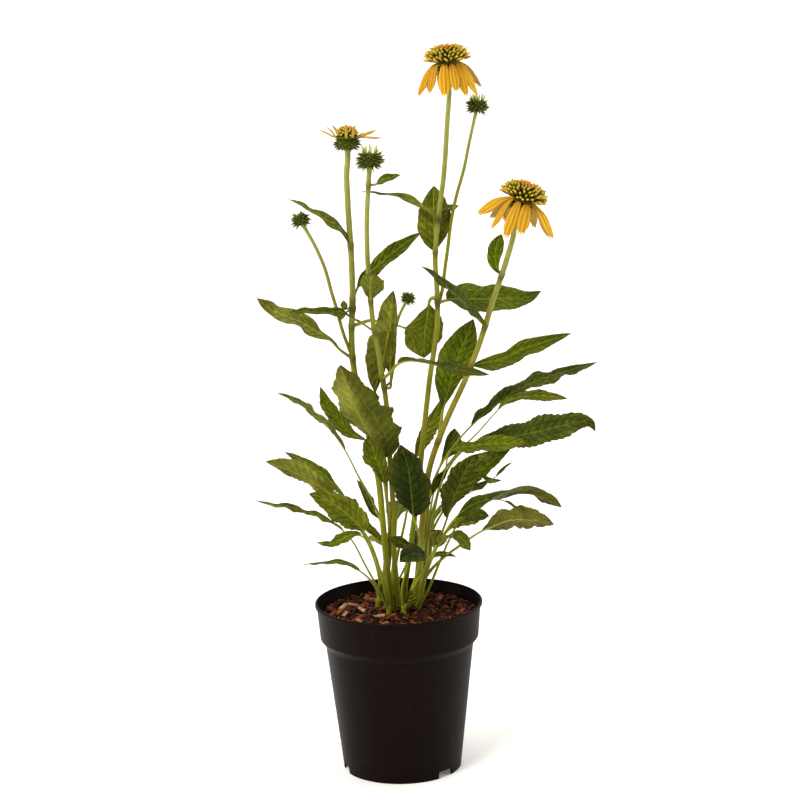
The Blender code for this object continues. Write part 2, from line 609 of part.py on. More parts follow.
def section(place, side, up, halves, lifts, edge, rib):
    """The six points across a blade: left edge, rib and right edge, above and then below."""
    left = place - side * halves[0] + up * lifts[0]
    right = place + side * halves[1] + up * lifts[1]
    return [left + up * edge, place + up * rib, right + up * edge,
            right - up * edge, place - up * rib, left - up * edge]


def stalk_section(place, side, up, radius):
    ring = []
    for angle in (150, 90, 30, -30, -90, -150):
        turn = math.radians(angle)
        ring.append(place + (side * math.cos(turn) + up * math.sin(turn)) * radius)
    return ring


def loft(sections, name, collection):
    """Skin six-point sections, both faces of the blade split along the same diagonals."""
    bm = bmesh.new()
    rings = [[bm.verts.new(p) for p in ring] for ring in sections]
    for a, b in zip(rings, rings[1:]):
        for i in range(6):
            j = (i + 1) % 6
            if i in (0, 1, 2):
                bm.faces.new((a[i], a[j], b[j]))
                bm.faces.new((a[i], b[j], b[i]))
            else:
                bm.faces.new((a[i], a[j], b[i]))
                bm.faces.new((a[j], b[j], b[i]))
    for ring in (rings[0], rings[-1]):
        for quad in ((0, 1, 4, 5), (1, 2, 3, 4)):
            bm.faces.new([ring[i] for i in quad])
    bmesh.ops.triangulate(bm, faces=[f for f in bm.faces if len(f.verts) > 3])
    return object_from(bm, name, collection)


def make_leaf(leaf, name, collection):
    path = Path(leaf.spine)
    stalk = path.knot(leaf.blade_from)
    blade = path.length - stalk
    stalk_radius = 0.9 + (leaf.left[0] + leaf.right[0]) / 60
    stalk_parts = max(1, round(stalk / STALK_STEP)) if stalk else 0
    blade_parts = min(9, max(4, round(blade / BLADE_STEP)))
    first = Vector(leaf.face).normalized()
    last = Vector(leaf.tip_face or leaf.face).normalized()
    stations = [(i / max(1, stalk_parts) * stalk, None) for i in range(stalk_parts + 1)]
    stations += [(stalk + k / blade_parts * blade, k / blade_parts)
                 for k in range(1, blade_parts + 1)]
    sections = []
    for number, (distance, t) in enumerate(stations):
        place, along = path.at(distance)
        face = first.lerp(last, t or 0)
        side = along.cross(face).normalized()
        up = side.cross(along)
        if t is None:
            sections.append(stalk_section(place, side, up, stalk_radius))
            continue
        tooth = 0.94 if number % 2 else 1.0
        halves = [half_width(leaf.left, t) * tooth, half_width(leaf.right, t) * tooth]
        swing = leaf.ripple * max(halves) / max(leaf.left[0], leaf.right[0])
        turn = 2 * math.pi * leaf.waves * t
        lifts = [0.2 * halves[0] + swing * math.sin(turn),
                 0.2 * halves[1] + swing * math.sin(turn + 2)]
        sections.append(section(place, side, up, halves, lifts, EDGE_HALF, RIB_HALF - 0.4 * t))
    return loft(sections, name, collection)


def spiked_ball(name, centre, axis, radius, height, count, spike, lean, collection, dome=False):
    """A ball or a flat-based dome of points on a golden-angle spiral, each of its facets
    raised to a point. spike gives a point's length from its angle off the axis, 0 for none."""
    up = Vector(axis).normalized()
    side = up.orthogonal().normalized()
    front = up.cross(side)
    bm = bmesh.new()
    lowest = 0.0 if dome else -1.0
    spots = []
    for i in range(count):
        rise = 1 - (1 - lowest) * (i + 0.5) / count
        spots.append((math.sqrt(1 - rise * rise), rise, i * GOLDEN_ANGLE))
    if dome:
        spots += [(1.0, 0.0, 2 * math.pi * i / 14) for i in range(14)]
    for out, rise, turn in spots:
        bm.verts.new(side * (radius * out * math.cos(turn))
                     + front * (radius * out * math.sin(turn)) + up * (height * rise))
    hull = bmesh.ops.convex_hull(bm, input=bm.verts)
    loose = [g for g in hull["geom_interior"] if isinstance(g, bmesh.types.BMVert)]
    bmesh.ops.delete(bm, geom=loose, context="VERTS")
    for face in list(bm.faces):
        middle = face.calc_center_median()
        if dome and abs(middle.dot(up)) < 0.01:
            continue
        length = spike(math.degrees(middle.angle(up)))
        if length <= 0:
            continue
        tip = bmesh.ops.poke(bm, faces=[face])["verts"][0]
        outward = (middle.normalized() + up * lean).normalized()
        tip.co += outward * length
    bmesh.ops.translate(bm, vec=Vector(centre), verts=bm.verts)
    return object_from(bm, name, collection)


def bracts(length):
    """Bract length over a bud: pointed out of its sides and low on its top."""
    return lambda angle: length * (1.0 if angle > 50 else 0.55)


def under_bracts(length):
    """Bracts only where a head's cup looks out and down."""
    return lambda angle: length if angle > 75 else 0.0


def florets(length):
    """Floret length over a cone: short at the top, longest round its foot."""
    return lambda angle: length * (0.35 + 0.65 * math.sin(math.radians(min(angle, 90))) ** 2)


def make_bud(bud, name, collection):
    return spiked_ball(name, bud.centre, bud.axis, bud.radius, bud.radius * 0.95, 22,
                       bracts(bud.bract), 0.15, collection)


def pot_outside():
    return [(RIM_RADIUS - 0.8, POT_HEIGHT), (RIM_RADIUS, POT_HEIGHT - 0.9),
            (RIM_RADIUS, POT_HEIGHT - 3), (RIM_RADIUS - 1.8, POT_HEIGHT - 4.6),
            (RIM_RADIUS - 4.4, BAND_FOOT), (RIM_RADIUS - 5.6, BAND_FOOT - 3),
            (RIM_RADIUS - 4.4 - BAND_STEP, SHOULDER), (BASE_RADIUS, 0)]


def pot_inside(inset=0.0):
    """The inner wall, bottom to top, drawn in by inset for what lies against it."""
    return [(r - inset, z) for r, z in (
        (BASE_RADIUS - WALL + 1.2, FLOOR_LIFT + WALL + inset),
        (RIM_RADIUS - 4.4 - BAND_STEP - WALL, SHOULDER),
        (RIM_RADIUS - 4.4 - WALL, BAND_FOOT), (RIM_RADIUS - 1.9 - WALL, POT_HEIGHT - 4.6))]


def pot_floor(lift=0.0):
    """The inside of the floor, from the middle out: a flat disc in a raised ring."""
    return [(0, WALL + lift), (DISC_RADIUS - WALL - lift, WALL + lift),
            (DISC_RADIUS - WALL / 2 - lift, FLOOR_LIFT + WALL + lift)]


def make_pot(collection):
    profile = pot_floor() + pot_inside() + [(RIM_RADIUS - WALL - 0.4, POT_HEIGHT)]
    profile += pot_outside()
    profile += [(BASE_RADIUS - WALL, 0), (BASE_RADIUS - WALL, FLOOR_LIFT),
                (DISC_RADIUS + 1, FLOOR_LIFT), (DISC_RADIUS, 0), (0, 0)]
    pot = turned("pot", profile, POT_SIDES, collection)
    cutters = new_collection("pot cutters")
    bm = bmesh.new()
    bmesh.ops.create_cube(bm, size=1)
    bmesh.ops.scale(bm, vec=(NOTCH_WIDTH, 12, 2 * FLOOR_LIFT - 1), verts=bm.verts)
    bmesh.ops.translate(bm, vec=(0, -BASE_RADIUS, 0), verts=bm.verts)
    notch = object_from(bm, "notch", cutters)
    for number, angle in enumerate(NOTCH_ANGLES):
        copy = notch if number == 0 else notch.copy()
        copy.rotation_euler.z = math.radians(angle)
        if number:
            cutters.objects.link(copy)
    for number in range(DRAIN_HOLES):
        turn = 2 * math.pi * (number + 0.5) / DRAIN_HOLES
        reach = (DISC_RADIUS + BASE_RADIUS) / 2
        bm = bmesh.new()
        bmesh.ops.create_cone(bm, segments=8, radius1=DRAIN_RADIUS, radius2=DRAIN_RADIUS,
                              depth=10, cap_ends=True)
        bmesh.ops.translate(bm, verts=bm.verts, vec=(
            reach * math.cos(turn), reach * math.sin(turn), FLOOR_LIFT + WALL / 2))
        object_from(bm, "drain", cutters)
    return combine(pot, cutters, "DIFFERENCE")


def make_soil(collection):
    top = SOIL_LEVEL
    wall = pot_inside(GAP + 0.05)
    share = (top - wall[2][1]) / (wall[3][1] - wall[2][1])
    edge = wall[2][0] + (wall[3][0] - wall[2][0]) * share
    profile = [(0, top), (edge, top)] + wall[:3][::-1] + pot_floor(GAP)[::-1]
    soil = turned("soil", profile, POT_SIDES, collection)
    chips = new_collection("chips")
    draw = random.Random(7)
    holes = [(x, y, CROWN_RADIUS + GAP) for x, y in CROWNS.values()]
    holes += [(*stem.path[0][:2], stem.foot_radius + GAP) for stem in STEMS.values()]
    placed = 0
    while placed < CHIP_COUNT:
        turn = draw.uniform(0, 2 * math.pi)
        reach = edge * math.sqrt(draw.uniform(0.02, 0.7))
        spot = Vector((reach * math.cos(turn), reach * math.sin(turn)))
        if any((spot - Vector((x, y))).length < 14 + radius for x, y, radius in holes):
            continue
        bm = bmesh.new()
        bmesh.ops.create_cube(bm, size=1)
        stretch = [size * draw.uniform(0.6, 1.2) for size in CHIP_SIZE]
        bmesh.ops.scale(bm, vec=stretch, verts=bm.verts)
        chip = object_from(bm, "chip", chips)
        chip.rotation_euler = (draw.uniform(-0.25, 0.25), draw.uniform(-0.15, 0.15),
                               draw.uniform(0, math.pi))
        chip.location = (spot.x * MM, spot.y * MM, (top + 0.6) * MM)
        placed += 1
    combine(soil, chips, "UNION")
    cutters = new_collection("soil cutters")
    for x, y, radius in holes:
        bm = bmesh.new()
        bmesh.ops.create_cone(bm, segments=8, radius1=radius + 0.8, radius2=radius + 0.8,
                              depth=60, cap_ends=True)
        bmesh.ops.translate(bm, vec=(x, y, HOLE_FOOT - GAP + 30), verts=bm.verts)
        object_from(bm, "hole", cutters)
    return combine(soil, cutters, "DIFFERENCE")


def head_point(head, azimuth, out, height):
    """A place in a flower head's own frame; azimuth 0 is to the right, -90 to the front."""
    up = Vector(head.axis).normalized()
    right = (Vector((1, 0, 0)) - up * up.x).normalized()
    back = up.cross(right)
    turn = math.radians(azimuth)
    return (Vector(head.base) + up * height
            + (right * math.cos(turn) + back * math.sin(turn)) * out)


def make_stem(name, collection):
    """A stem rooted in the soil with its leaves, its branch, its buds and its head's cup."""
    stem = STEMS[name]
    x, y, _ = stem.path[0]
    points = [(x, y, HOLE_FOOT), (x, y, SOIL_LEVEL + 5)] + stem.path[1:]
    pieces = new_collection(name + " pieces")
    if name in HEADS:
        head = HEADS[name]
        points += [head_point(head, 0, 0, -26), head_point(head, 0, 0, -GAP - 0.05)]
        spiked_ball("cup", head_point(head, 0, 0, -COLLAR_HEIGHT - GAP - head.cup[1]),
                    head.axis, head.cup[0], head.cup[1], 20, under_bracts(head.cup[2]), -0.45,
                    pieces)
    else:
        points.append(STEM_BUDS[name].centre)
        make_bud(STEM_BUDS[name], "bud", pieces)
    path = Path(points)
    body = tube(name, path, (stem.foot_radius, stem.top_radius), STEM_STEP, collection)
    if name in BRANCHES:
        branch = BRANCHES[name]
        bud = BRANCH_BUDS[name]
        tube("branch", Path([path.nearest(branch.path[0])] + branch.path[1:] + [bud.centre]),
             (branch.foot_radius, branch.top_radius), BRANCH_STEP, pieces, resolution=1)
        make_bud(bud, "branch bud", pieces)
    for leaf in LEAVES[name]:
        root = leaf.spine[0] if leaf.on_branch else path.nearest(leaf.spine[0])
        make_leaf(replace(leaf, spine=[root] + leaf.spine[1:]), "leaf", pieces)
    return combine(body, pieces, "UNION")


def make_rosette(name, collection):
    """One crown's basal leaves on the short stub that stands in the soil."""
    x, y = CROWNS[name]
    body = tube(name, Path([(x, y, HOLE_FOOT), (x, y, CROWN_TOP)]),
                (CROWN_RADIUS, CROWN_RADIUS * 0.8), 20, collection)
    pieces = new_collection(name + " pieces")
    for leaf in LEAVES[name]:
        make_leaf(leaf, "leaf", pieces)
    return combine(body, pieces, "UNION", SOLVERS.get(name, "EXACT"))


def make_rays(name, head, collection):
    """A head's collar with its ray florets."""
    stem = STEMS[name]
    inner = stem.top_radius + GAP + 0.2
    low = -COLLAR_HEIGHT
    collar = turned("collar", [(head.collar, -GAP), (head.collar, low), (inner, low),
                               (inner, -GAP)], 12, collection)
    up = Vector(head.axis).normalized()
    collar.rotation_mode = "QUATERNION"
    collar.rotation_quaternion = Vector((0, 0, 1)).rotation_difference(up)
    collar.location = Vector(head.base) * MM
    collar.name = "rays_" + name.split("_")[1]
    pieces = new_collection(name + " rays")
    for ray in head.rays:
        points = [head_point(head, ray.azimuth, out, height) for out, height in ray.path]
        path = Path(points)
        radial = head_point(head, ray.azimuth, 1, 0) - Vector(head.base)
        sections = []
        for k in range(5):
            t = k / 4
            place, along = path.at(t * path.length)
            side = along.cross(radial * 0.8 + up * 0.6).normalized()
            normal = side.cross(along)
            half = ray.width / 2 * ray_outline(t)
            sections.append(section(place, side, normal, [half, half],
                                    [-0.15 * half, -0.15 * half], 0.3, 0.45))
        loft(sections, "ray", pieces)
    return combine(collar, pieces, "UNION", SOLVERS.get(collar.name, "EXACT"))


def make_cone(name, head, collection):
    return spiked_ball("cone_" + name.split("_")[1], head.base, head.axis, head.cone_radius,
                       head.cone_height, head.florets, florets(head.floret), 0.25, collection,
                       dome=True)


def main():
    clear_scene()
    plant = new_collection("coneflower")
    foliage = material("foliage", GREEN, 0.55)
    dark_foliage = material("basal foliage", DARK_GREEN, 0.5)
    yellow = material("rays", YELLOW, 0.5)
    amber = material("cone", AMBER, 0.6)
    shade(make_pot(plant), material("pot plastic", BLACK, 0.45))
    shade(make_soil(plant), material("bark", BARK, 0.9))
    for name in STEMS:
        shade(make_stem(name, plant), foliage)
    for name in CROWNS:
        shade(make_rosette(name, plant), dark_foliage)
    for name, head in HEADS.items():
        shade(make_rays(name, head, plant), yellow)
        shade(make_cone(name, head, plant), amber)


main()
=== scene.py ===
"""The looks of a potted coneflower with yellow blooms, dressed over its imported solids.

Tables are in millimetres in the part's own frame: +Z up, the plant's front looks along -Y.
Leaves, stems and heads stand where the part's own do, and are built here with teeth, veins,
grooves and single florets. Sizes of chips, lamps and finishes are in metres, as Blender's are.
"""

import json
import math
import random
from dataclasses import dataclass, replace

import bmesh
import bpy
from mathutils import Matrix, Vector

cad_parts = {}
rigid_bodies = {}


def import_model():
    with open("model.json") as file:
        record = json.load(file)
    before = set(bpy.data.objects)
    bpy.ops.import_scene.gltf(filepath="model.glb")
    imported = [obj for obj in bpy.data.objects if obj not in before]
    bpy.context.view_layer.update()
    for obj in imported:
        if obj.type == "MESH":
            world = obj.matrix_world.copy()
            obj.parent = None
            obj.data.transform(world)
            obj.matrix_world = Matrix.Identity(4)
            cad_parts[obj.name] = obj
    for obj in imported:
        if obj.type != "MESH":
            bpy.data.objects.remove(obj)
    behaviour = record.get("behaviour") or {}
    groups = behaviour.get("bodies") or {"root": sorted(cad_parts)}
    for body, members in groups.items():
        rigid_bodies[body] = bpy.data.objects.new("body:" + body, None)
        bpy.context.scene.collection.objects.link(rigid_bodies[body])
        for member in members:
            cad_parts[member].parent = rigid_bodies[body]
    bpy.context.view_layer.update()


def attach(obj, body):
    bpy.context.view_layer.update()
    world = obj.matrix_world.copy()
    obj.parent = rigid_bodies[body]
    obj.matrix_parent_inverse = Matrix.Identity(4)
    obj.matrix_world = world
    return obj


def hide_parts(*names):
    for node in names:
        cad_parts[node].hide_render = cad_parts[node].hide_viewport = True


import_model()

# A millimetre, and the gaps under which points are merged, in metres
MM = 0.001
MERGE_GAP = 1e-6
SCREW_MERGE_GAP = 1e-5

CURVE_STEPS = 8
GOLDEN_ANGLE = math.pi * (3 - math.sqrt(5))

# The camera that the photograph was taken with, as near as its outlines tell
CAMERA_PLACE = (0, -2.5, 0.905)
CAMERA_LENS = 115.0
SENSOR_WIDTH = 36
VIEW_DEPTH = 100
CAMERA_DIP = 11.8
CAMERA_ROLL = -1.45
CAMERA_TURN = -0.15

# The studio: a soft key from the upper left, a side light on each hand and light from above
WORLD_FRONT_BACK = (0.16, 0.95)
WORLD_TOP = 0.25
SKY = (1, 0.97, 0.94, 1)
WARM_LIGHT = (1.0, 0.94, 0.86)
SUN_AIM = (0, 0, 0)
SIDE_LIGHT_AIM = (0, 0, 0.25)
KEY_SPREAD = math.radians(22)
TOP_SPREAD = math.radians(50)
FLOOR_REACH = 40
FLOOR_GLOW = 0.12
FLOOR_WHITES = ((0.90, 0.90, 0.90, 1), (0.92, 0.92, 0.92, 1))

# The pot, from its base up
POT_HEIGHT = 175.0
RIM_RADIUS = 85.0
BASE_RADIUS = 60.0
WALL = 1.6
BAND_TOP_RADIUS = RIM_RADIUS - 1.8
BAND_FOOT_RADIUS = RIM_RADIUS - 4.4
BAND_FOOT = 140.0
BODY_TOP_RADIUS = BAND_FOOT_RADIUS - 5.5
SHOULDER = 131.0
FLOOR_LIFT = 8.0
DISC_RADIUS = 32.0
INNER_FOOT = (BAND_FOOT_RADIUS - WALL, BAND_FOOT)
INNER_TOP = (BAND_TOP_RADIUS - 0.1 - WALL, POT_HEIGHT - 4.6)
POT_STEPS = 160
SHARP_ANGLE = 35
NOTCH_WIDTH = 19.0
NOTCH_DEPTH = 12.0
NOTCH_HEIGHT = 7.5
NOTCH_ANGLES = (46, -74, 166)
DRAIN_HOLES = 6
DRAIN_RADIUS = 4.5
DRAIN_SIDES = 24
DRAIN_DEPTH = 10.0

# The soil and the crowns that stand in it
SOIL_LEVEL = 163.0
SOIL_SIDES = 96
SOIL_RINGS = 25
SOIL_LUMP = 1.4
SOIL_GRIT = 0.9
SOIL_DROP = 1.5
SOIL_SEED = 11
HOLE_FOOT = 138.0
ROOTED = HOLE_FOOT + 4
CROWN_RADIUS = 5.0
CROWN_TOP = 173.0
STALK_ROOT = 166.0

# How a blade is shaped: gaps and depths in millimetres, the rest as shares. The mark of a
# point on its underside is moved across by UNDERSIDE, so that the leaf's finish can tell it
ROW_STEP = 1.7
COLUMNS = 6
BLADE_THICKNESS = 0.6
EDGE_THINNING = 0.45
BLUNTNESS = 0.9
NARROWEST = 0.35
DISH = 0.2
SWAY = 0.05
SWING = 1.4
RUMPLE = 0.75
TOOTH_GAP = 6.5
TOOTH_SHARE = 0.17
DEEPEST_TOOTH = 2.4
TOOTH_DEPTHS = (0.4, 1.0)
VEIN_GAP = 9
VEIN_SLANT = 1.8
VEIN_WIDTH = 0.16
UNDERSIDE = 2.0
PUFF = 0.8
GROOVE_DEPTH = 0.5
GROOVE_WIDTH = 0.8
DRY_MARGIN = 0.35
DRY_TIP = 0.4
DRY_FROM = 0.85
STEM_LEAF_TEETH = 0.4
SEED_BLOCK = 100
ROSETTE_SEED = 11

# A stalk, and the rib that it runs on as: radii in millimetres, the rest as shares
RIB_ROOT = 0.9
RIB_TIP = 0.3
RIB_SIDES = 8
RIB_STEP = 3.5
RIB_END = 0.985
RIB_HANG = 0.6
RIB_FADE = 15
RIB_COVER = 0.1
RIB_BRIGHTENING = 1.5

# Stems: radii and lengths in millimetres
STEM_SIDES = 20
STEM_STEP = 3.0
STEM_RIDGE = 0.035
STUB_SIDES = 16
STUB_STEP = 2.0
STUB_RIDGE = 0.12
STRAIGHT_FOOT = 5
STRAIGHT_NECK = 26
NODE_SWELL = 0.55
NODE_LENGTH = 3.0
NODE_SHADE = 0.65
HEAD_NECK = 1.6
BUD_NECK = 1.2
BRANCH_NECK = 0.8
NECK_LENGTH = 9.0
HAIRS = 500
HAIRY_PART = (0.1, 0.985)
HAIR_SINK = 0.1
HAIR_THICKNESS = 0.13
HAIR_LENGTHS = (0.7, 1.5)

# Rays: columns count from the middle to one side, sizes in millimetres
RAY_COLUMNS = 8
RAY_ROW_STEP = 1.2
RAY_HALF_THICKNESS = 0.28
RAY_GROOVE = 0.5
RAY_ARCH = 0.32
RAY_TWIST = 0.35
RAY_NOTCH = 0.10
RAY_ROUND = 0.06
COLLAR_HEIGHT = 3.7
RISING_ROOT = 11.2

# Cones: florets higher than WARM_TOP or lower than WARM_FOOT, as shares, are warmer
WARM_TOP = 0.72
WARM_FOOT = 0.12

# Buds and cups: sizes in millimetres. A dome stops at its pole's share of its height
OPENING_BUD = 7
YOUNG_RAYS = 9
CUP_BRACTS = 64
BRACTS_PER_RADIUS = 9
BRACT_WIDTH = 1.9
BRACT_THICKNESS = 1.0
POLE = 0.985

# Colours of leaves: upper side, underside. Shaded leaves' paler paint is painted light
MID = ((0.116, 0.158, 0.006), (0.150, 0.170, 0.018))
OLIVE = ((0.090, 0.106, 0.006), (0.125, 0.124, 0.020))
DARK = ((0.015, 0.036, 0.005), (0.085, 0.100, 0.015))
DEEP = ((0.066, 0.098, 0.005), (0.090, 0.100, 0.010))
BLUISH = ((0.066, 0.092, 0.011), (0.110, 0.120, 0.020))
BRIGHT = ((0.118, 0.152, 0.006), (0.155, 0.180, 0.020))
BROWNISH = ((0.080, 0.096, 0.008), (0.110, 0.112, 0.014))
FRESH = ((0.172, 0.208, 0.012), (0.210, 0.245, 0.022))
GREEN = ((0.090, 0.132, 0.005), (0.125, 0.145, 0.015))
DULL = ((0.185, 0.205, 0.028), (0.220, 0.232, 0.034))
PALE = ((0.235, 0.255, 0.030), (0.270, 0.285, 0.036))
SHADED_HALF = (0.064, 0.078, 0.006)
DRY_EDGE = (0.170, 0.130, 0.020)
WORN_SPOT = (0.13, 0.12, 0.015, 1)
PALE_VEIN = (0.30, 0.31, 0.05, 1)

# Colours of stems, heads and buds
PETIOLE = (0.235, 0.252, 0.022)
STEM_LOW = (0.185, 0.195, 0.010)
STEM_BROWN = (0.205, 0.176, 0.014)
STEM_HIGH = (0.305, 0.325, 0.095)
STEM_BLUSH = (0.17, 0.10, 0.015, 1)
NODE_DARK = (0.040, 0.032, 0.008)
CONE_CORE = (0.020, 0.024, 0.004)
BUD_CORE = (0.046, 0.070, 0.008)
RAY_GOLDS = ((0.66, 0.38, 0.012), (0.82, 0.56, 0.030))
# the next colour is painted shade, laid along the furrows on top of a ray
RAY_FURROW_SHADE = (0.40, 0.155, 0.004)
RAY_WARM = (0.50, 0.22, 0.010)
RAY_BACKS = ((0.48, 0.33, 0.09), (0.58, 0.38, 0.08))
RAY_DEEP = (0.78, 0.56, 0.40, 1)
FADED_RAY = (0.520, 0.350, 0.075)
WARM_FLORET = (0.74, 0.26, 0.02, 1)

# Spikes' colours at foot, body and tip, by the name of their finish
SPIKE_PAINTS = {
    "floret_spikes": ((0.012, 0.016, 0.004), (0.190, 0.135, 0.010), (0.560, 0.400, 0.045)),
    "bract_green": ((0.034, 0.054, 0.006), (0.080, 0.100, 0.014), (0.220, 0.210, 0.045)),
    "stem_hairs": ((0.30, 0.32, 0.12), (0.40, 0.40, 0.18), (0.50, 0.48, 0.26)),
    "young_ray": ((0.10, 0.14, 0.02), (0.42, 0.42, 0.10), (0.62, 0.60, 0.22)),
}

# Spikes' shapes: the inputs of their tree, with a cone's own seed added to its florets'
FLORET_SPIKES = {"Sides": 7, "Tip share": 0.42, "Belly": 0.25, "Lean": 0.16}
BRACT_SPIKES = {"Sides": 6, "Tip share": 0.10, "Belly": 0.35, "Lean": 0.18, "Seed": 4}
HAIR_SPIKES = {"Sides": 3, "Tip share": 0.1, "Belly": 0.0, "Lean": 0.1, "Seed": 2}
YOUNG_RAY_SPIKES = {"Sides": 6, "Tip share": 0.45, "Belly": 0.15, "Lean": 0.10, "Seed": 9}

# Colours of the pot and of bark, which goes from its darkest chips to its lightest
POT_BLACKS = ((0.0024, 0.0012, 0.0009, 1), (0.0040, 0.0022, 0.0017, 1))
DUST = (0.12, 0.09, 0.07, 1)
BARK_SHADES = ((0.0, (0.008, 0.003, 0.002, 1)), (0.30, (0.030, 0.009, 0.004, 1)),
               (0.60, (0.105, 0.028, 0.009, 1)), (0.82, (0.210, 0.068, 0.022, 1)),
               (0.96, (0.480, 0.290, 0.160, 1)))

# Tints of the gloss, each warmer than white
LEAF_GLINT = (1.0, 1.0, 0.2, 1)
STEM_GLINT = (1.0, 1.0, 0.3, 1)
POT_GLINT = (1.0, 0.76, 0.69, 1)

# The layers of chips: inputs of their tree in metres, then, in millimetres and degrees, the
# bed that they lie on: its height over the soil, inner and outer radius, first and last angle
CHIP_INPUTS = ("Spacing", "Density", "Length", "Width", "Thickness", "Tilt", "Darkest",
               "Lightest", "Seed")
CHIP_LAYERS = {
    "large_chips": ((0.0075, 12000.0, 0.016, 0.0042, 0.0022, 0.40, 0.0, 0.88, 3),
                    (0.6, 16, 73, 95, 290)),
    "middling_chips": ((0.0055, 22000.0, 0.0105, 0.0032, 0.0018, 0.50, 0.0, 0.78, 15),
                       (0.4, 12, 75, -75, 100)),
    "tan_chips": ((0.012, 4000.0, 0.013, 0.0045, 0.0022, 0.35, 0.84, 1.0, 21),
                  (1.2, 20, 74, 150, 260)),
    "small_chips": ((0.0032, 90000.0, 0.0070, 0.0026, 0.0016, 0.55, 0.0, 0.72, 8),
                    (-0.2, 4, 77.5, 0, 360)),
}
CHIP_BED_STEPS = 48
CHIP_SCALES = ((0.45, 0.5, 0.5), (1.25, 1.3, 1.4))
CHIP_ROUGHNESS = 1.6


@dataclass
class Leaf:
    """A leaf along its spine, from root to tip: a basal leaf's root is its crown, and is left
    out of the table. left and right, looking from root to tip, each give a half width and the
    share of the blade that it lies at. The blade starts at spine point blade_from, the root
    being point 0. face is the direction its upper side looks, which may turn towards tip_face.
    paint is its upper side and its underside, paler on shaded leaves as painted light. The
    underside's left half is darkened by its share of half shade, as painted shade."""
    spine: list
    left: tuple
    right: tuple
    blade_from: int
    face: tuple
    paint: tuple = MID
    tip_face: tuple = None
    ripple: float = 1.5
    waves: int = 2
    on_branch: bool = False
    painted_half_shade: float = 0.0


@dataclass
class Head:
    """A flower head: base is the middle of the cone's flat underside, axis points up it. Its
    cup is a ball of bracts under the collar, and a young head's rays are faded and rise."""
    base: tuple
    axis: tuple
    cone_radius: float
    cone_height: float
    florets: int
    floret_length: float
    rays: list
    cup_radius: float = 8.0
    cup_height: float = 3.6
    bract_length: float = 6.5
    collar: float = 10.0
    young: bool = False


@dataclass
class Bud:
    """A round bud: its radius is the body's, without the bracts."""
    centre: tuple
    axis: tuple
    radius: float
    bract_length: float


@dataclass
class Ray:
    """A ray floret in its head's frame: azimuth in degrees, then (distance out, height)."""
    azimuth: float
    path: list
    width: float


@dataclass
class Stem:
    """A stem's path above the soil, its radius at the foot and at the top, and its foot's
    colour."""
    path: list
    foot_radius: float
    top_radius: float
    paint: tuple = STEM_LOW


STEMS = {
    "stem_tall": Stem([(6, 30, 163), (14, 27, 225), (21, 24, 273), (30, 18, 347), (37, 15, 401),
                       (46, 12, 461), (46, 11, 496), (45, 11, 519), (49, 10, 564),
                       (55, 10, 603), (60, 10, 660)], 2.9, 2.3),
    "stem_right": Stem([(18, 22, 163), (22, 18, 212), (27, 13, 260), (37, 7, 319), (44, 4, 339),
                        (53, 2, 361), (72, -2, 402), (88, -4, 442), (101, -5, 482),
                        (115, -6, 522), (123, -7, 552)], 3.1, 2.7, STEM_BROWN),
    "stem_left": Stem([(-8, 8, 163), (-11, 6, 211), (-14, 4, 258), (-17, 4, 300), (-24, 5, 338),
                       (-33, 6, 382), (-39, 6, 418), (-40, 7, 449), (-38, 8, 484),
                       (-38, 8, 524), (-40, 8, 584), (-40, 8, 614)], 3.2, 2.8),
    "stem_middle": Stem([(0, 14, 163), (-3, 12, 214), (-3, 10, 267), (-5, 9, 319), (-8, 6, 387),
                         (-11, 4, 410), (-14, 2, 434), (-18, -1, 460), (-20, -3, 485),
                         (-22, -5, 546), (-21, -5, 575), (-19, -5, 600)], 2.8, 2.3),
}

BRANCHES = {
    "stem_tall": Stem([(47, 12, 474), (51, 15, 488), (54, 17, 507), (58, 19, 532), (62, 20, 559),
                       (68, 20, 585), (75, 20, 608), (82, 20, 639)], 1.8, 1.5),
    "stem_left": Stem([(-41, 6, 424), (-49, 5, 454), (-54, 3, 476), (-59, 2, 495), (-64, 1, 516),
                       (-72, 0, 537)], 1.7, 1.7),
    "stem_middle": Stem([(-8, 5, 395), (-3, 13, 398), (0, 22, 407), (2, 34, 422), (1, 37, 437),
                         (5, 34, 453), (8, 29, 463)], 1.3, 1.4),
}

# The bud that ends a stem, or a stem's branch
STEM_BUDS = {"stem_middle": Bud((-17, -5, 624), (0, 0, 1), 9.5, 7.125)}
BRANCH_BUDS = {
    "stem_tall": Bud((90, 20, 672), (0.1, 0, 1), 7.5, 5.875),
    "stem_left": Bud((-87, 0, 566), (-0.3, 0, 1), 6.5, 5.25),
    "stem_middle": Bud((17, 20, 482), (0.3, 0, 1), 5.0, 5.25),
}

CROWNS = {
    "rosette_left": (-21, 20),
    "rosette_front_left": (-10, -5),
    "rosette_front": (5, -6),
    "rosette_right": (20, 3),
    "rosette_back_right": (23, 36),
    "rosette_back": (-8, 40),
}
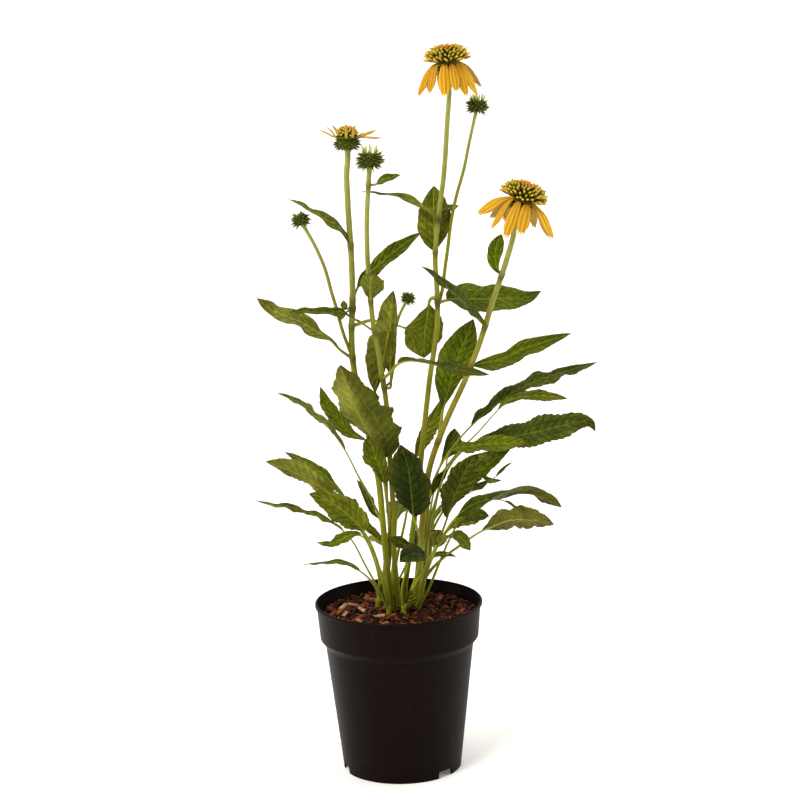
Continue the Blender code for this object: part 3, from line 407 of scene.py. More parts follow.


# Each leaf's class of colour is partly painted light: shaded leaves were given paler classes
LEAVES = {
    "stem_tall": (
        # Tall back
        Leaf([(46, 10, 532), (45, 18, 544), (45, 26, 559), (45, 33, 575), (46, 38, 592)], (17, 0.4),
             (17, 0.5), 0, (0, -10, 3), FRESH),
        # Tall small right
        Leaf([(49, 10, 565), (53, 20, 570), (59, 28, 570), (65, 33, 571), (70, 37, 572)], (6, 0.5),
             (8, 0.35), 0, (0, -6, 8)),
        # Tall small left
        Leaf([(47, 10, 565), (37, 13, 573), (27, 15, 579), (12, 16, 585), (-6, 18, 588),
              (-26, 20, 591)], (7, 0.35), (5, 0.3), 0, (0, -3, 10), PALE),
        # Tall round
        Leaf([(46, 12, 481), (40, 20, 481), (38, 26, 475), (36, 31, 460), (33, 35, 439),
              (32, 36, 418)], (18, 0.45), (21, 0.6), 2, (0, -10, 2), FRESH),
        # Tall wide
        Leaf([(47, 12, 478), (56, 24, 479), (74, 32, 478), (100, 38, 476), (120, 43, 476),
              (138, 47, 476), (152, 50, 481)], (17, 0.3), (19, 0.4), 1, (0, -7, 7), GREEN),
    ),
    "stem_right": (
        # Right small
        Leaf([(107, -6, 506), (105, -3, 516), (104, 1, 525), (106, 5, 536), (111, 8, 546)],
             (8, 0.5), (8, 0.65), 0, (0, -10, 4)),
        # Right dark
        Leaf([(90, -4, 456), (83, -14, 470), (73, -22, 483), (62, -30, 495), (52, -36, 505),
              (43, -40, 514), (31, -44, 524)], (14, 0.4), (12, 0.3), 0, (0, -5, 9), DEEP),
        # Right wavy
        Leaf([(81, -3, 414), (91, 2, 418), (102, 6, 419), (115, 10, 422), (128, 14, 428),
              (143, 17, 432), (158, 19, 436), (180, 22, 442)], (8, 0.5), (13, 0.35), 0, (0, -7, 7)),
        # Right large
        Leaf([(44, 4, 339), (47, 6, 356), (49, 8, 369), (54, 11, 384), (60, 14, 405), (68, 17, 427),
              (75, 19, 442), (82, 21, 459)], (19, 0.5), (14, 0.6), 2, (0, -10, 3), GREEN),
    ),
    "stem_left": (
        # Left narrow
        Leaf([(-39, 8, 542), (-46, 3, 554), (-55, -1, 563), (-63, -3, 567), (-70, -6, 573),
              (-78, -9, 578), (-86, -12, 584), (-97, -15, 589)], (9, 0.4), (6, 0.4), 0, (0, -5, 9),
             PALE),
        # Left cross
        Leaf([(-37, 8, 486), (-34, 13, 493), (-29, 17, 501), (-19, 20, 510), (-5, 24, 522),
              (12, 27, 534), (32, 29, 547)], (8, 0.5), (9, 0.5), 1, (3, -6, 8)),
        # Left low
        Leaf([(-42, 6, 424), (-51, 2, 435), (-60, -3, 446), (-73, -8, 455), (-88, -13, 466),
              (-103, -19, 474), (-118, -24, 482), (-131, -28, 494)], (18, 0.6), (12, 0.6), 1,
             (0, -5, 9), PALE),
        # Left axil up
        Leaf([(-39, 8, 475), (-43, 4, 476), (-46, 1, 479), (-47, -1, 485)], (4, 0.5), (4, 0.4), 1,
             (0, -8, 6), FRESH, ripple=0, waves=1),
        # Left axil down
        Leaf([(-39, 8, 477), (-44, 4, 473), (-48, 1, 469), (-52, -2, 464)], (2, 0.4), (4, 0.5), 1,
             (0, -8, 6), FRESH, ripple=0, waves=1),
        # Left hanging
        Leaf([(-38, 8, 458), (-30, 12, 460), (-20, 14, 462), (-10, 16, 458), (-4, 16, 451),
              (-6, 15, 436), (-10, 14, 420), (-15, 12, 403), (-18, 11, 388)], (19, 0.3), (6, 0.4),
             4, (0, 10, 1)),
    ),
    "stem_middle": (
        # Middle small
        Leaf([(-17, -5, 601), (-12, -8, 601), (-4, -11, 606), (4, -13, 608), (12, -15, 610)],
             (5, 0.5), (7, 0.45), 1, (0, -6, 8), ripple=0.5, waves=1),
        # Middle clasp
        Leaf([(-21, -3, 486), (-20, -14, 497), (-19, -25, 508), (-17, -33, 517)], (14, 0.45),
             (11, 0.6), 0, (0, 8, 6), BRIGHT),
        # Middle upright
        Leaf([(-8, 5, 395), (-3, 14, 393), (-2, 23, 400), (-2, 30, 416), (-2, 31, 433),
              (-1, 30, 451), (1, 27, 469), (3, 22, 490)], (7, 0.5), (15, 0.55), 2, (0, 10, 2),
             PALE),
        # Middle arch
        Leaf([(-7, 4, 404), (-2, -4, 413), (5, -12, 422), (16, -20, 427), (29, -28, 427),
              (47, -38, 424), (68, -47, 420), (94, -54, 417)], (12, 0.35), (14, 0.45), 2, (0, 6, 8),
             DEEP, tip_face=(0, -6, 8)),
        # Middle dark cross
        Leaf([(-21, -1, 453), (-29, -10, 464), (-39, -18, 471), (-48, -24, 478), (-60, -30, 478),
              (-74, -37, 481), (-87, -42, 482), (-98, -47, 483)], (9, 0.5), (7, 0.6), 1, (0, -4, 9),
             ripple=1),
        # Middle sickle
        Leaf([(5, 34, 453), (10, 25, 453), (17, 18, 450), (23, 14, 445), (30, 9, 433)], (2, 0.4),
             (3, 0.6), 1, (0, -3, 9), FRESH, ripple=0, waves=1, on_branch=True),
    ),
    "rosette_left": (
        # Upper left, long
        Leaf([(-12, 17, 202), (-13, 12, 246), (-24, 4, 280), (-37, -6, 308), (-49, -15, 336),
              (-62, -23, 358), (-79, -31, 376), (-96, -38, 392), (-113, -43, 402)], (14, 0.55),
             (11, 0.4), 5, (-2, -3, 9), PALE, ripple=1, waves=3),
        # Upper left, small
        Leaf([(-10, 20, 212), (-10, 22, 275), (-16, 24, 311), (-28, 28, 335), (-43, 33, 342),
              (-55, 37, 355), (-66, 41, 370), (-74, 45, 389)], (10, 0.5), (7, 0.5), 4, (-2, -6, 8),
             ripple=1),
        # Left, broad and upright, the left half of its underside in painted shade
        Leaf([(-11, 20, 196), (-7, 19, 244), (-9, 13, 282), (-10, 0, 324), (-24, -14, 352),
              (-37, -25, 379), (-45, -31, 404), (-51, -36, 427)], (31, 0.35), (19, 0.65), 4,
             (3, 9, 2), DULL, ripple=2, waves=3, painted_half_shade=0.9),
        # Left, at the broad one's foot
        Leaf([(-12, 22, 196), (-9, 17, 229), (-7, 6, 266), (-11, -6, 296), (-15, -13, 314),
              (-20, -15, 330), (-26, -19, 351)], (12, 0.65), (10, 0.45), 4, (-2, -10, 3), BRIGHT),
        # Left, slender, behind
        Leaf([(-19, 24, 190), (-27, 28, 222), (-42, 38, 250), (-51, 44, 271), (-67, 51, 290),
              (-90, 59, 307), (-113, 67, 317)], (12, 0.5), (5, 0.55), 4, (0, -5, 9)),
        # Left, low and level
        Leaf([(-21, 22, 178), (-29, 26, 191), (-39, 33, 198), (-55, 42, 205), (-76, 49, 203),
              (-97, 56, 200)], (7, 0.4), (3, 0.3), 3, (0, -3, 10), OLIVE, ripple=0.5),
        # Left, narrow bract
        Leaf([(-13, 18, 213), (-13, 17, 239), (-18, 15, 257), (-25, 12, 270), (-32, 8, 286),
              (-39, 4, 301)], (4, 0.4), (9, 0.65), 3, (-6, -8, 2), OLIVE, ripple=1, waves=1),
        # Left, small, near the crown
        Leaf([(-14, 19, 210), (-13, 17, 226), (-20, 15, 239), (-28, 13, 249), (-34, 12, 261)],
             (5, 0.7), (4, 0.5), 2, (-3, -8, 6), FRESH, ripple=1),
        # Left crown bract
        Leaf([(-17, 17, 171), (-16, 14, 182), (-14, 12, 192)], (5, 0.5), (5, 0.5), 1, (-2, -10, 3),
             GREEN, ripple=0.5, waves=1),
    ),
    "rosette_front_left": (
        # Left, long, seen from below
        Leaf([(-13, -6, 188), (-22, -8, 220), (-37, -8, 255), (-56, -12, 284), (-77, -20, 303),
              (-103, -27, 319), (-128, -33, 331)], (14, 0.6), (10, 0.4), 4, (0, 9, 5), PALE),
        # Front left, bright
        Leaf([(-13, -8, 186), (-19, -14, 213), (-26, -19, 238), (-33, -23, 254), (-49, -30, 274),
              (-61, -34, 285), (-73, -38, 294), (-86, -38, 298)], (15, 0.5), (16, 0.35), 4,
             (-3, -8, 6), FRESH),
        # Front left, wavy and level
        Leaf([(-19, -14, 190), (-33, -28, 223), (-44, -36, 248), (-53, -39, 260), (-72, -44, 274),
              (-89, -49, 282), (-105, -53, 289), (-120, -56, 292), (-138, -59, 298)], (9, 0.5),
             (5, 0.4), 4, (0, -3, 10), FRESH, ripple=1, waves=3),
        # Front left, curling down
        Leaf([(-16, -20, 208), (-26, -32, 239), (-35, -40, 254), (-45, -45, 257), (-55, -50, 254),
              (-65, -56, 251), (-79, -61, 254)], (7, 0.5), (6, 0.35), 3, (0, -6, 8), FRESH,
             ripple=1),
    ),
    "rosette_front": (
        # Front, dark and upright
        Leaf([(14, -8, 188), (22, -10, 214), (23, -13, 241), (20, -17, 256), (17, -20, 267),
              (16, -22, 282), (15, -24, 299), (13, -24, 319), (6, -18, 341)], (21, 0.55),
             (20, 0.35), 5, (1, -10, 2), DARK),
        # Front, small and folded
        Leaf([(4, -10, 189), (10, -12, 215), (14, -15, 233), (5, -20, 240), (-7, -27, 248)],
             (7, 0.6), (6, 0.5), 3, (2, -10, 4), OLIVE, ripple=0.7, waves=1),
        # Front, glossy, curling over
        Leaf([(13, -10, 188), (24, -14, 208), (30, -23, 226), (22, -32, 232), (13, -40, 234),
              (2, -48, 229)], (20, 0.65), (17, 0.25), 3, (0, -4, 9), DARK, ripple=0.5, waves=1),
        # Front crown bract
        Leaf([(8, -12, 173), (11, -14, 181), (13, -16, 190)], (5, 0.5), (8, 0.45), 1, (0, -10, 4),
             GREEN, ripple=0.5, waves=1),
    ),
    "rosette_right": (
        # Right, pale young leaf
        Leaf([(26, -2, 196), (34, -8, 218), (37, -12, 230), (36, -16, 240), (33, -20, 253)],
             (12, 0.7), (4, 0.6), 3, (0, 9, 3), PALE, ripple=0.5, waves=1),
        # Right, arched young leaf
        Leaf([(26, -6, 197), (33, -14, 218), (40, -21, 235), (47, -26, 246), (56, -30, 249),
              (65, -33, 247), (73, -35, 235)], (12, 0.3), (13, 0.5), 3, (-3, 8, 5), FRESH,
             tip_face=(0, -7, 7), ripple=0.7, waves=1),
        # Right, small tongue
        Leaf([(30, -3, 207), (34, -5, 219), (43, -8, 224), (59, -12, 223)], (4, 0.35), (3, 0.5), 2,
             (0, -6, 8), BRIGHT, ripple=0, waves=1),
        # Right, low, seen from below
        Leaf([(26, 2, 195), (43, -6, 218), (63, -14, 235), (84, -22, 251), (95, -27, 257),
              (113, -34, 265), (133, -39, 266), (156, -44, 262)], (21, 0.5), (17, 0.55), 4,
             (0, 8, 6), OLIVE, ripple=1, waves=3),
        # Right, wavy
        Leaf([(31, 0, 214), (45, -6, 241), (59, -10, 262), (72, -14, 274), (89, -19, 282),
              (107, -25, 286), (121, -30, 291), (135, -34, 291), (150, -38, 286), (164, -42, 279)],
             (19, 0.6), (20, 0.5), 3, (0, -7, 7), DEEP, tip_face=(0, 8, 6), ripple=1),
        # Right, dark and upright
        Leaf([(29, 6, 204), (43, 5, 236), (51, 4, 258), (57, 2, 276), (64, -4, 295), (70, -10, 311),
              (82, -16, 329)], (17, 0.45), (15, 0.65), 3, (2, -9, 3), BROWNISH),
        # Right, short, near the crown
        Leaf([(33, 8, 214), (43, 7, 232), (51, 3, 245), (60, 0, 253), (70, -4, 260), (81, -6, 264),
              (93, -8, 263)], (9, 0.6), (12, 0.65), 3, (0, -7, 7), PALE, ripple=1),
        # Right, small, under the wavy one
        Leaf([(89, -19, 282), (99, -27, 285), (108, -35, 285), (118, -41, 279), (129, -47, 269)],
             (7, 0.5), (8, 0.5), 3, (0, 5, 9), DEEP, ripple=0.5, waves=1),
    ),
    "rosette_back_right": (
        # Back right, longest
        Leaf([(27, 40, 195), (31, 42, 258), (41, 43, 294), (59, 48, 322), (79, 54, 343),
              (104, 60, 363), (135, 68, 380), (167, 76, 390), (191, 82, 395), (211, 88, 399)],
             (9, 0.35), (13, 0.6), 5, (0, -5, 9), BLUISH, ripple=2, waves=4),
        # Back right, seen over the others
        Leaf([(30, 42, 205), (37, 36, 280), (61, 28, 318), (87, 20, 346), (104, 15, 366),
              (116, 11, 377), (129, 8, 381), (152, 4, 382), (174, 0, 380)], (7, 0.5), (8, 0.6), 5,
             (0, -6, 8), FRESH, ripple=1),
        # Back right, broad, tip curled down
        Leaf([(34, 44, 215), (39, 44, 257), (48, 40, 290), (63, 36, 315), (82, 31, 331),
              (107, 23, 336), (127, 15, 340), (148, 7, 346), (168, 0, 352), (187, -4, 357),
              (196, -5, 355), (201, -6, 347)], (15, 0.5), (16, 0.5), 5, (1, -9, 5), BLUISH),
        # Back right, bright, narrow waist
        Leaf([(28, 28, 209), (34, 20, 253), (45, 8, 292), (51, -2, 314), (54, -8, 329),
              (64, -14, 336), (77, -19, 338), (91, -24, 341), (109, -30, 343), (133, -36, 344)],
             (9, 0.55), (14, 0.55), 5, (0, -6, 8), BRIGHT),
        # Back right, dark
        Leaf([(29, 38, 217), (45, 38, 253), (64, 36, 278), (74, 34, 288), (86, 33, 300),
              (100, 32, 311), (117, 30, 322)], (13, 0.45), (9, 0.3), 4, (0, -9, 5), GREEN,
             ripple=1),
        # Back right, upright
        Leaf([(27, 42, 205), (35, 48, 256), (43, 51, 292), (47, 53, 305), (54, 56, 319),
              (62, 60, 339)], (5, 0.6), (14, 0.6), 4, (0, -10, 4), BLUISH, ripple=1, waves=1),
        # Back right, young and folded
        Leaf([(28, 33, 207), (38, 31, 250), (53, 26, 277), (68, 14, 301), (76, 7, 312),
              (82, 2, 322), (90, -2, 324), (99, -6, 321)], (3, 0.5), (13, 0.4), 5, (-2, -6, 8),
             PALE, ripple=0.4, waves=1),
        # Back right, young tip
        Leaf([(38, 31, 250), (55, 26, 272), (71, 13, 289), (86, 3, 301), (95, -1, 299),
              (106, -5, 299)], (2, 0.4), (6, 0.6), 4, (0, -6, 8), FRESH, ripple=0.4, waves=1),
        # Back right, young blade
        Leaf([(53, 27, 272), (73, 18, 282), (91, 8, 293), (100, 3, 300), (109, -1, 310),
              (117, -5, 317)], (2, 0.5), (2, 0.5), 4, (0, -6, 8), FRESH, ripple=0.3, waves=1),
        # Back right, small and dark
        Leaf([(53, 27, 272), (66, 20, 277), (77, 15, 283), (85, 11, 289), (94, 8, 295)], (5, 0.4),
             (5, 0.6), 3, (0, -6, 8), DEEP, ripple=0.4, waves=1),
        # Back right, small and low
        Leaf([(28, 32, 208), (34, 28, 256), (38, 27, 277), (44, 27, 292), (53, 28, 303)], (6, 0.45),
             (4, 0.6), 3, (0, -9, 4), DEEP, ripple=0.4, waves=1),
    ),
    "rosette_back": (
        # Back, upright
        Leaf([(-1, 46, 205), (9, 50, 246), (17, 51, 288), (22, 51, 311), (26, 50, 325),
              (32, 49, 339), (40, 48, 354), (48, 46, 372)], (6, 0.4), (11, 0.5), 4, (0, -10, 2),
             FRESH, ripple=0.8, waves=1),
        # Back, long
        Leaf([(-6, 52, 187), (-3, 74, 213), (0, 100, 233), (4, 124, 243), (7, 146, 243)],
             (15, 0.45), (15, 0.45), 3, (0, 8, 7), DEEP),
        # Back, short
        Leaf([(0, 50, 182), (11, 66, 199), (21, 86, 209), (26, 106, 215), (29, 126, 213)],
             (13, 0.45), (13, 0.45), 3, (2, 6, 8), DARK),
        # Back, shortest
        Leaf([(-10, 50, 182), (-12, 64, 200), (-15, 82, 211), (-18, 98, 215), (-20, 114, 211)],
             (12, 0.45), (12, 0.45), 3, (-2, 6, 8), PALE),
    ),
}


def drooping_ray(azimuth, out, drop, width):
    """An old ray that leaves its collar level and hangs: its tip's distance out and down."""
    reach = out - 12
    path = [(8, -2), (12, -2.6), (12 + 0.30 * reach, -2.6 - 0.14 * drop),
            (12 + 0.66 * reach, -2.6 - 0.52 * drop), (out, -2.6 - drop)]
    return Ray(azimuth, path, width)


def rising_ray(azimuth, rise, length, width):
    """A young ray that stands out of its head at an angle above the collar."""
    slope = math.radians(rise)
    path = [(6, -2), (RISING_ROOT, -1.8),
            (RISING_ROOT + 0.5 * length * math.cos(slope), 0.5 * length * math.sin(slope) - 1),
            (RISING_ROOT + length * math.cos(slope), length * math.sin(slope) - 1)]
    return Ray(azimuth, path, width)


def rays_of(kind, *rows):
    return [kind(*row) for row in rows]


HEADS = {
    "stem_tall": Head((61, 10, 718), (-0.06, -0.03, 1), 15.5, 13.5, 151, 9.0, rays_of(
        drooping_ray, (182, 31, 30, 8), (142, 27, 27, 8), (112, 24, 26, 7), (-106, 20, 31, 12),
        (-72, 21, 27, 9), (-40, 21, 33, 9), (-10, 27, 34, 10), (22, 34, 28, 7), (52, 27, 29, 9),
        (82, 24, 27, 9), (-148, 24, 27, 7))),
    "stem_right": Head((132, -8, 583), (0.32, -0.05, 0.94), 16.5, 15.0, 151, 9.5, rays_of(
        drooping_ray, (180, 38, 26, 11), (-150, 25, 34, 6), (-110, 19, 38, 11),
        (-68, 19, 30, 13), (42, 30, 26, 9), (-20, 42, 25, 11), (12, 39, 29, 10),
        (75, 26, 29, 10), (108, 26, 29, 10), (144, 28, 29, 11))),
    "stem_left": Head((-39, 8, 648), (0, -0.03, 1), 8.2, 8.0, 67, 4.2, rays_of(
        rising_ray, (176, 22, 17, 3.2), (205, 46, 15, 3.0), (268, 74, 15, 3.0),
        (300, 64, 14, 3.0), (335, 30, 9, 3.0), (8, 14, 18, 5.0), (-14, -4, 24, 5.0),
        (95, 50, 12, 3.0), (135, 45, 13, 3.0)),
        cup_radius=11.0, cup_height=6.5, bract_length=5.8, collar=10.5, young=True),
}


class Path:
    """A smooth curve through its points, read by the distance along it."""

    def __init__(self, points):
        knots = [Vector(p) for p in points]
        gaps = [(b - a).length for a, b in zip(knots, knots[1:])]
        chords = [(b - a) / gap for a, b, gap in zip(knots, knots[1:], gaps)]
        slopes = [chords[0]]
        for i in range(1, len(chords)):
            mixed = gaps[i] * chords[i - 1] + gaps[i - 1] * chords[i]
            slopes.append(mixed / (gaps[i] + gaps[i - 1]))
        slopes.append(chords[-1])
        self.points = []
        for i, gap in enumerate(gaps):
            for k in range(CURVE_STEPS):
                t = k / CURVE_STEPS
                self.points.append(
                    knots[i] * (2 * t ** 3 - 3 * t ** 2 + 1)
                    + slopes[i] * gap * (t ** 3 - 2 * t ** 2 + t)
                    + knots[i + 1] * (3 * t ** 2 - 2 * t ** 3)
                    + slopes[i + 1] * gap * (t ** 3 - t ** 2))
        self.points.append(knots[-1])
        self.reach = [0.0]
        for a, b in zip(self.points, self.points[1:]):
            self.reach.append(self.reach[-1] + (b - a).length)
        self.length = self.reach[-1]

    def knot(self, index):
        """The distance along the curve at one of the points it was made from."""
        return self.reach[index * CURVE_STEPS]

    def nearest(self, place):
        """The point of the curve that lies closest to a place, and its distance along."""
        spot = Vector(place)
        i = min(range(len(self.points)), key=lambda k: (self.points[k] - spot).length)
        return self.points[i], self.reach[i]

    def at(self, distance):
        """The place and the direction at a distance along the curve."""
        i = 0
        while i < len(self.reach) - 2 and self.reach[i + 1] < distance:
            i += 1
        step = self.points[i + 1] - self.points[i]
        share = (distance - self.reach[i]) / (self.reach[i + 1] - self.reach[i])
        return self.points[i] + step * share, step.normalized()


class Skin:
    """Points, faces and their paint, gathered before they become one mesh. A mark is the
    place of a point on its own surface: across a blade, and along it."""

    def __init__(self):
        self.points = []
        self.faces = []
        self.tints = []
        self.marks = []

    def point(self, place, tint, mark=(0.0, 0.0)):
        self.points.append(place * MM)
        self.tints.append((*tint, 1.0))
        self.marks.append(mark)
        return len(self.points) - 1

    def circle(self, centre, side, front, radius, sides, tint=(0, 0, 0)):
        """A ring of points round a centre, in the plane of two directions."""
        return [self.point(centre + about(side, front, 2 * math.pi * k / sides) * radius, tint)
                for k in range(sides)]

    def strip(self, lower, upper):
        """Faces between two open rows of as many points."""
        for i in range(len(lower) - 1):
            self.faces.append((lower[i], lower[i + 1], upper[i + 1], upper[i]))

    def slab(self, tops, unders):
        """Faces over two sheets of rows, and round the edges between them."""
        for sheet in (tops, unders):
            for a, b in zip(sheet, sheet[1:]):
                self.strip(a, b)
        for a, b, c, d in zip(tops, tops[1:], unders, unders[1:]):
            self.strip([a[0], c[0]], [b[0], d[0]])
            self.strip([a[-1], c[-1]], [b[-1], d[-1]])
        self.strip(tops[0], unders[0])
        self.strip(tops[-1], unders[-1])

    def tube(self, rings, ends=(0, -1)):
        """Faces between closed rings, and over the rings that end them."""
        for lower, upper in zip(rings, rings[1:]):
            self.strip(lower + lower[:1], upper + upper[:1])
        for end in ends:
            self.faces.append(tuple(rings[end]))

    def finish(self, name, material):
        mesh = bpy.data.meshes.new(name)
        mesh.from_pydata(self.points, [], self.faces)
        tint = mesh.color_attributes.new("tint", "FLOAT_COLOR", "POINT")
        tint.data.foreach_set("color", [c for color in self.tints for c in color])
        marks = mesh.uv_layers.new(name="surface")
        for loop in mesh.loops:
            marks.data[loop.index].uv = self.marks[loop.vertex_index]
        turn_outwards(mesh)
        mesh.shade_smooth()
        mesh.materials.append(material)
        return add_object(name, mesh)


def add_object(name, data):
    obj = bpy.data.objects.new(name, data)
    bpy.context.scene.collection.objects.link(obj)
    return obj


def turn_outwards(mesh, merge=False):
    """Turn a mesh's faces outwards, after its doubles are merged where that is asked."""
    bm = bmesh.new()
    bm.from_mesh(mesh)
    if merge:
        bmesh.ops.remove_doubles(bm, verts=bm.verts, dist=MERGE_GAP)
    bmesh.ops.recalc_face_normals(bm, faces=bm.faces)
    bm.to_mesh(mesh)
    bm.free()


def settle(obj):
    """Keep what an object's modifiers make as its own plain mesh."""
    depsgraph = bpy.context.evaluated_depsgraph_get()
    mesh = bpy.data.meshes.new_from_object(obj.evaluated_get(depsgraph), depsgraph=depsgraph)
    obj.modifiers.clear()
    obj.data = mesh
    return mesh


def blend(a, b, share):
    """What lies at a share of the way from one colour to another."""
    return tuple(x + (y - x) * share for x, y in zip(a, b))


def clamp(value):
    return min(1, max(0, value))


def frame_of(axis):
    """Three directions at right angles: up an axis, to one side of it and across both."""
    up = Vector(axis).normalized()
    side = up.orthogonal().normalized()
    return up, side, up.cross(side)


def about(side, front, turn):
    """A direction at an angle round an axis, from the two directions across it."""
    return side * math.cos(turn) + front * math.sin(turn)


def add_tube(skin, path, radius, tint, sides, step, end=None, ridge=0.0, ridges=5, drop=0.0,
             face=None, breadth=None, top_tint=None):
    """A round or ridged tube along a path. radius and tint are read by the distance along
    it, as is breadth, which widens it sideways. drop hangs it by that share of its radius
    below the side that face looks at. top_tint paints its upper side, where it differs."""
    end = path.length if end is None else end
    count = max(2, round(end / step))
    side = path.at(0)[1].orthogonal().normalized()
    rings = []
    for number in range(count + 1):
        distance = end * number / count
        place, along = path.at(distance)
        if face is not None:
            side = along.cross(face(distance)).normalized()
        else:
            side = (side - along * side.dot(along)).normalized()
        up = side.cross(along)
        size = radius(distance)
        widening = breadth(distance) if breadth else 1
        paint = tint(distance)
        top_paint = top_tint(distance) if top_tint else paint
        ring = []
        for k in range(sides):
            turn = 2 * math.pi * k / sides
            out = size * (1 + ridge * math.cos(ridges * turn))
            sideways = side * (math.cos(turn) * widening)
            spot = place - up * drop * size + (sideways + up * math.sin(turn)) * out
            shown = top_paint if math.sin(turn) > RIB_COVER else paint
            ring.append(skin.point(spot, shown, (k / sides, distance / 20)))
        rings.append(ring)
    skin.tube(rings)


def add_dome(skin, centre, axis, radius, height, tint, lowest=0.0, sides=28, rows=10):
    """A smooth dome or ball that spikes stand out of. Its lowest row is given as a share of
    its height, and its top stops just under the pole."""
    up, side, front = frame_of(axis)
    rings = []
    for row in range(rows):
        rise = lowest + (POLE - lowest) * row / (rows - 1)
        out = radius * math.sqrt(max(0.0, 1 - rise * rise))
        rings.append(skin.circle(Vector(centre) + up * height * rise, side, front, out, sides,
                                 tint))
    skin.tube(rings)


def blade_facing(leaf):
    """The direction that a blade's upper side looks, by the share of its length."""
    first = Vector(leaf.face).normalized()
    last = Vector(leaf.tip_face or leaf.face).normalized()
    return lambda t: first.lerp(last, clamp(t))


class Blade:
    """A leaf's blade: a lance shape with teeth, waves, puffed panels and sunken veins. t runs
    from its root at 0 to its tip at 1, and s from its left edge at -1 to its right at 1."""

    def __init__(self, leaf, length, seed, toothed):
        draw = random.Random(seed)
        self.leaf = leaf
        self.toothed = toothed
        self.veins = max(4, round(length / VEIN_GAP))
        self.teeth = max(3, round(length / TOOTH_GAP))
        self.bite = [[draw.uniform(*TOOTH_DEPTHS) for _ in range(self.teeth + 2)]
                     for _ in range(2)]
        self.phase = draw.uniform(0, 1)
        self.rows = max(12, round(length / ROW_STEP))

    def half(self, s, t):
        """The width from midrib to edge, which narrows to a point and sways a little."""
        half, widest = self.leaf.left if s < 0 else self.leaf.right
        ahead = (1 - t) / (1 - widest)
        if t > widest:
            ahead = ahead ** BLUNTNESS
        width = half * (t / widest) ** (widest / (1 - widest)) * ahead
        turn = 2 * math.pi * self.leaf.waves * t
        sway = SWAY * self.toothed * self.leaf.ripple * abs(s)
        sway *= math.sin(1.6 * turn + 6 * self.phase + 4 * (s < 0))
        return max(NARROWEST, width * (1 + sway))

    def out(self, s, t, half):
        """How far a point lies from the midrib. Teeth are cut out of the edge, with depths of
        their own on each side."""
        edge = abs(s)
        reach = self.teeth * t + self.phase
        depth = self.bite[s < 0][int(reach)] * min(DEEPEST_TOOTH, TOOTH_SHARE * half)
        return edge * half - depth * self.toothed * (1 - reach % 1.0) * edge ** 6

    def lift(self, s, t, half):
        """How high a point lies: a dished blade, its waves, its panels and its midrib."""
        edge = abs(s)
        turn = 2 * math.pi * self.leaf.waves * t
        swing = SWING * self.leaf.ripple * math.sin(math.pi * min(1, t * 1.2)) ** 0.5
        lift = DISH * edge * half + swing * edge ** 2 * math.sin(turn + (0 if s < 0 else 2))
        rumple = math.sin(2 * turn + 5 * self.phase + 3 * s)
        lift += RUMPLE * min(1, half / 8) * rumple * edge
        vein = (self.veins * t - VEIN_SLANT * edge + 0.5) % 1.0 - 0.5
        panel = min(1, half / 10) * (1 - edge ** 4) * min(1, edge * 4)
        lift += PUFF * panel * (1 - math.exp(-(vein / VEIN_WIDTH) ** 2))
        return lift - GROOVE_DEPTH * math.exp(-(edge * half / GROOVE_WIDTH) ** 2)

    def tints(self, s, t):
        """The paint of the upper side and of the underside, dry at the margin and the tip. The
        underside's left half is darkened as painted shade.
        """
        top, under = self.leaf.paint
        dry = DRY_MARGIN * abs(s) ** 4 + DRY_TIP * max(0, t - DRY_FROM) / (1 - DRY_FROM)
        # painted shade over the underside's left half
        shadow = self.leaf.painted_half_shade * clamp(-4 * s)
        return (blend(top, DRY_EDGE, dry),
                blend(blend(under, DRY_EDGE, dry), SHADED_HALF, shadow))


def add_leaf(skin, stalks, leaf, seed, toothed=1.0):
    """One leaf: its blade, and its stalk that runs on as a rib under the blade."""
    path = Path(leaf.spine)
    stalk = path.knot(leaf.blade_from)
    facing = blade_facing(leaf)
    blade = Blade(leaf, path.length - stalk, seed, toothed)
    tops = []
    unders = []
    for row in range(blade.rows + 1):
        t = row / blade.rows
        place, along = path.at(stalk + t * (path.length - stalk))
        side = along.cross(facing(t)).normalized()
        up = side.cross(along)
        upper = []
        lower = []
        for column in range(-COLUMNS, COLUMNS + 1):
            s = column / COLUMNS
            half = blade.half(s, t)
            spot = place + side * math.copysign(blade.out(s, t, half), s)
            spot += up * blade.lift(s, t, half)
            thick = up * (BLADE_THICKNESS / 2 * (1 - EDGE_THINNING * abs(s) ** 3))
            top_tint, low_tint = blade.tints(s, t)
            across = 0.5 + 0.5 * s
            upper.append(skin.point(spot + thick, top_tint, (across, blade.veins * t)))
            lower.append(skin.point(spot - thick, low_tint,
                                    (across + UNDERSIDE, blade.veins * t)))
        tops.append(upper)
        unders.append(lower)
    skin.slab(tops, unders)
    add_stalk(stalks, leaf, path, stalk, facing)


def add_stalk(skin, leaf, path, stalk, facing):
    """A leaf's stalk and rib: broad at its root, thin at its end, and green as the blade on
    the side that the blade covers."""
    root = RIB_ROOT + (leaf.left[0] + leaf.right[0]) / 60
    bright = tuple(RIB_BRIGHTENING * part for part in leaf.paint[0])

    def radius(distance):
        return root + (RIB_TIP - root) * (distance / path.length) ** 1.5

    def face(distance):
        return facing((distance - stalk) / (path.length - stalk))

    def breadth(distance):
        return 1 + 0.5 * clamp(1.15 - distance / max(stalk, 1))

    def top_tint(distance):
        return blend(PETIOLE, bright, 0.8 * clamp((distance - stalk) / RIB_FADE))

    add_tube(skin, path, radius, lambda distance: PETIOLE, RIB_SIDES, RIB_STEP,
             end=path.length * RIB_END, drop=RIB_HANG, face=face, breadth=breadth,
             top_tint=top_tint)


def head_point(head, azimuth, out, height):
    """A place in a flower head's own frame; azimuth 0 is to the right, -90 to the front."""
    up = Vector(head.axis).normalized()
    right = (Vector((1, 0, 0)) - up * up.x).normalized()
    turn = math.radians(azimuth)
    return Vector(head.base) + up * height + about(right, up.cross(right), turn) * out


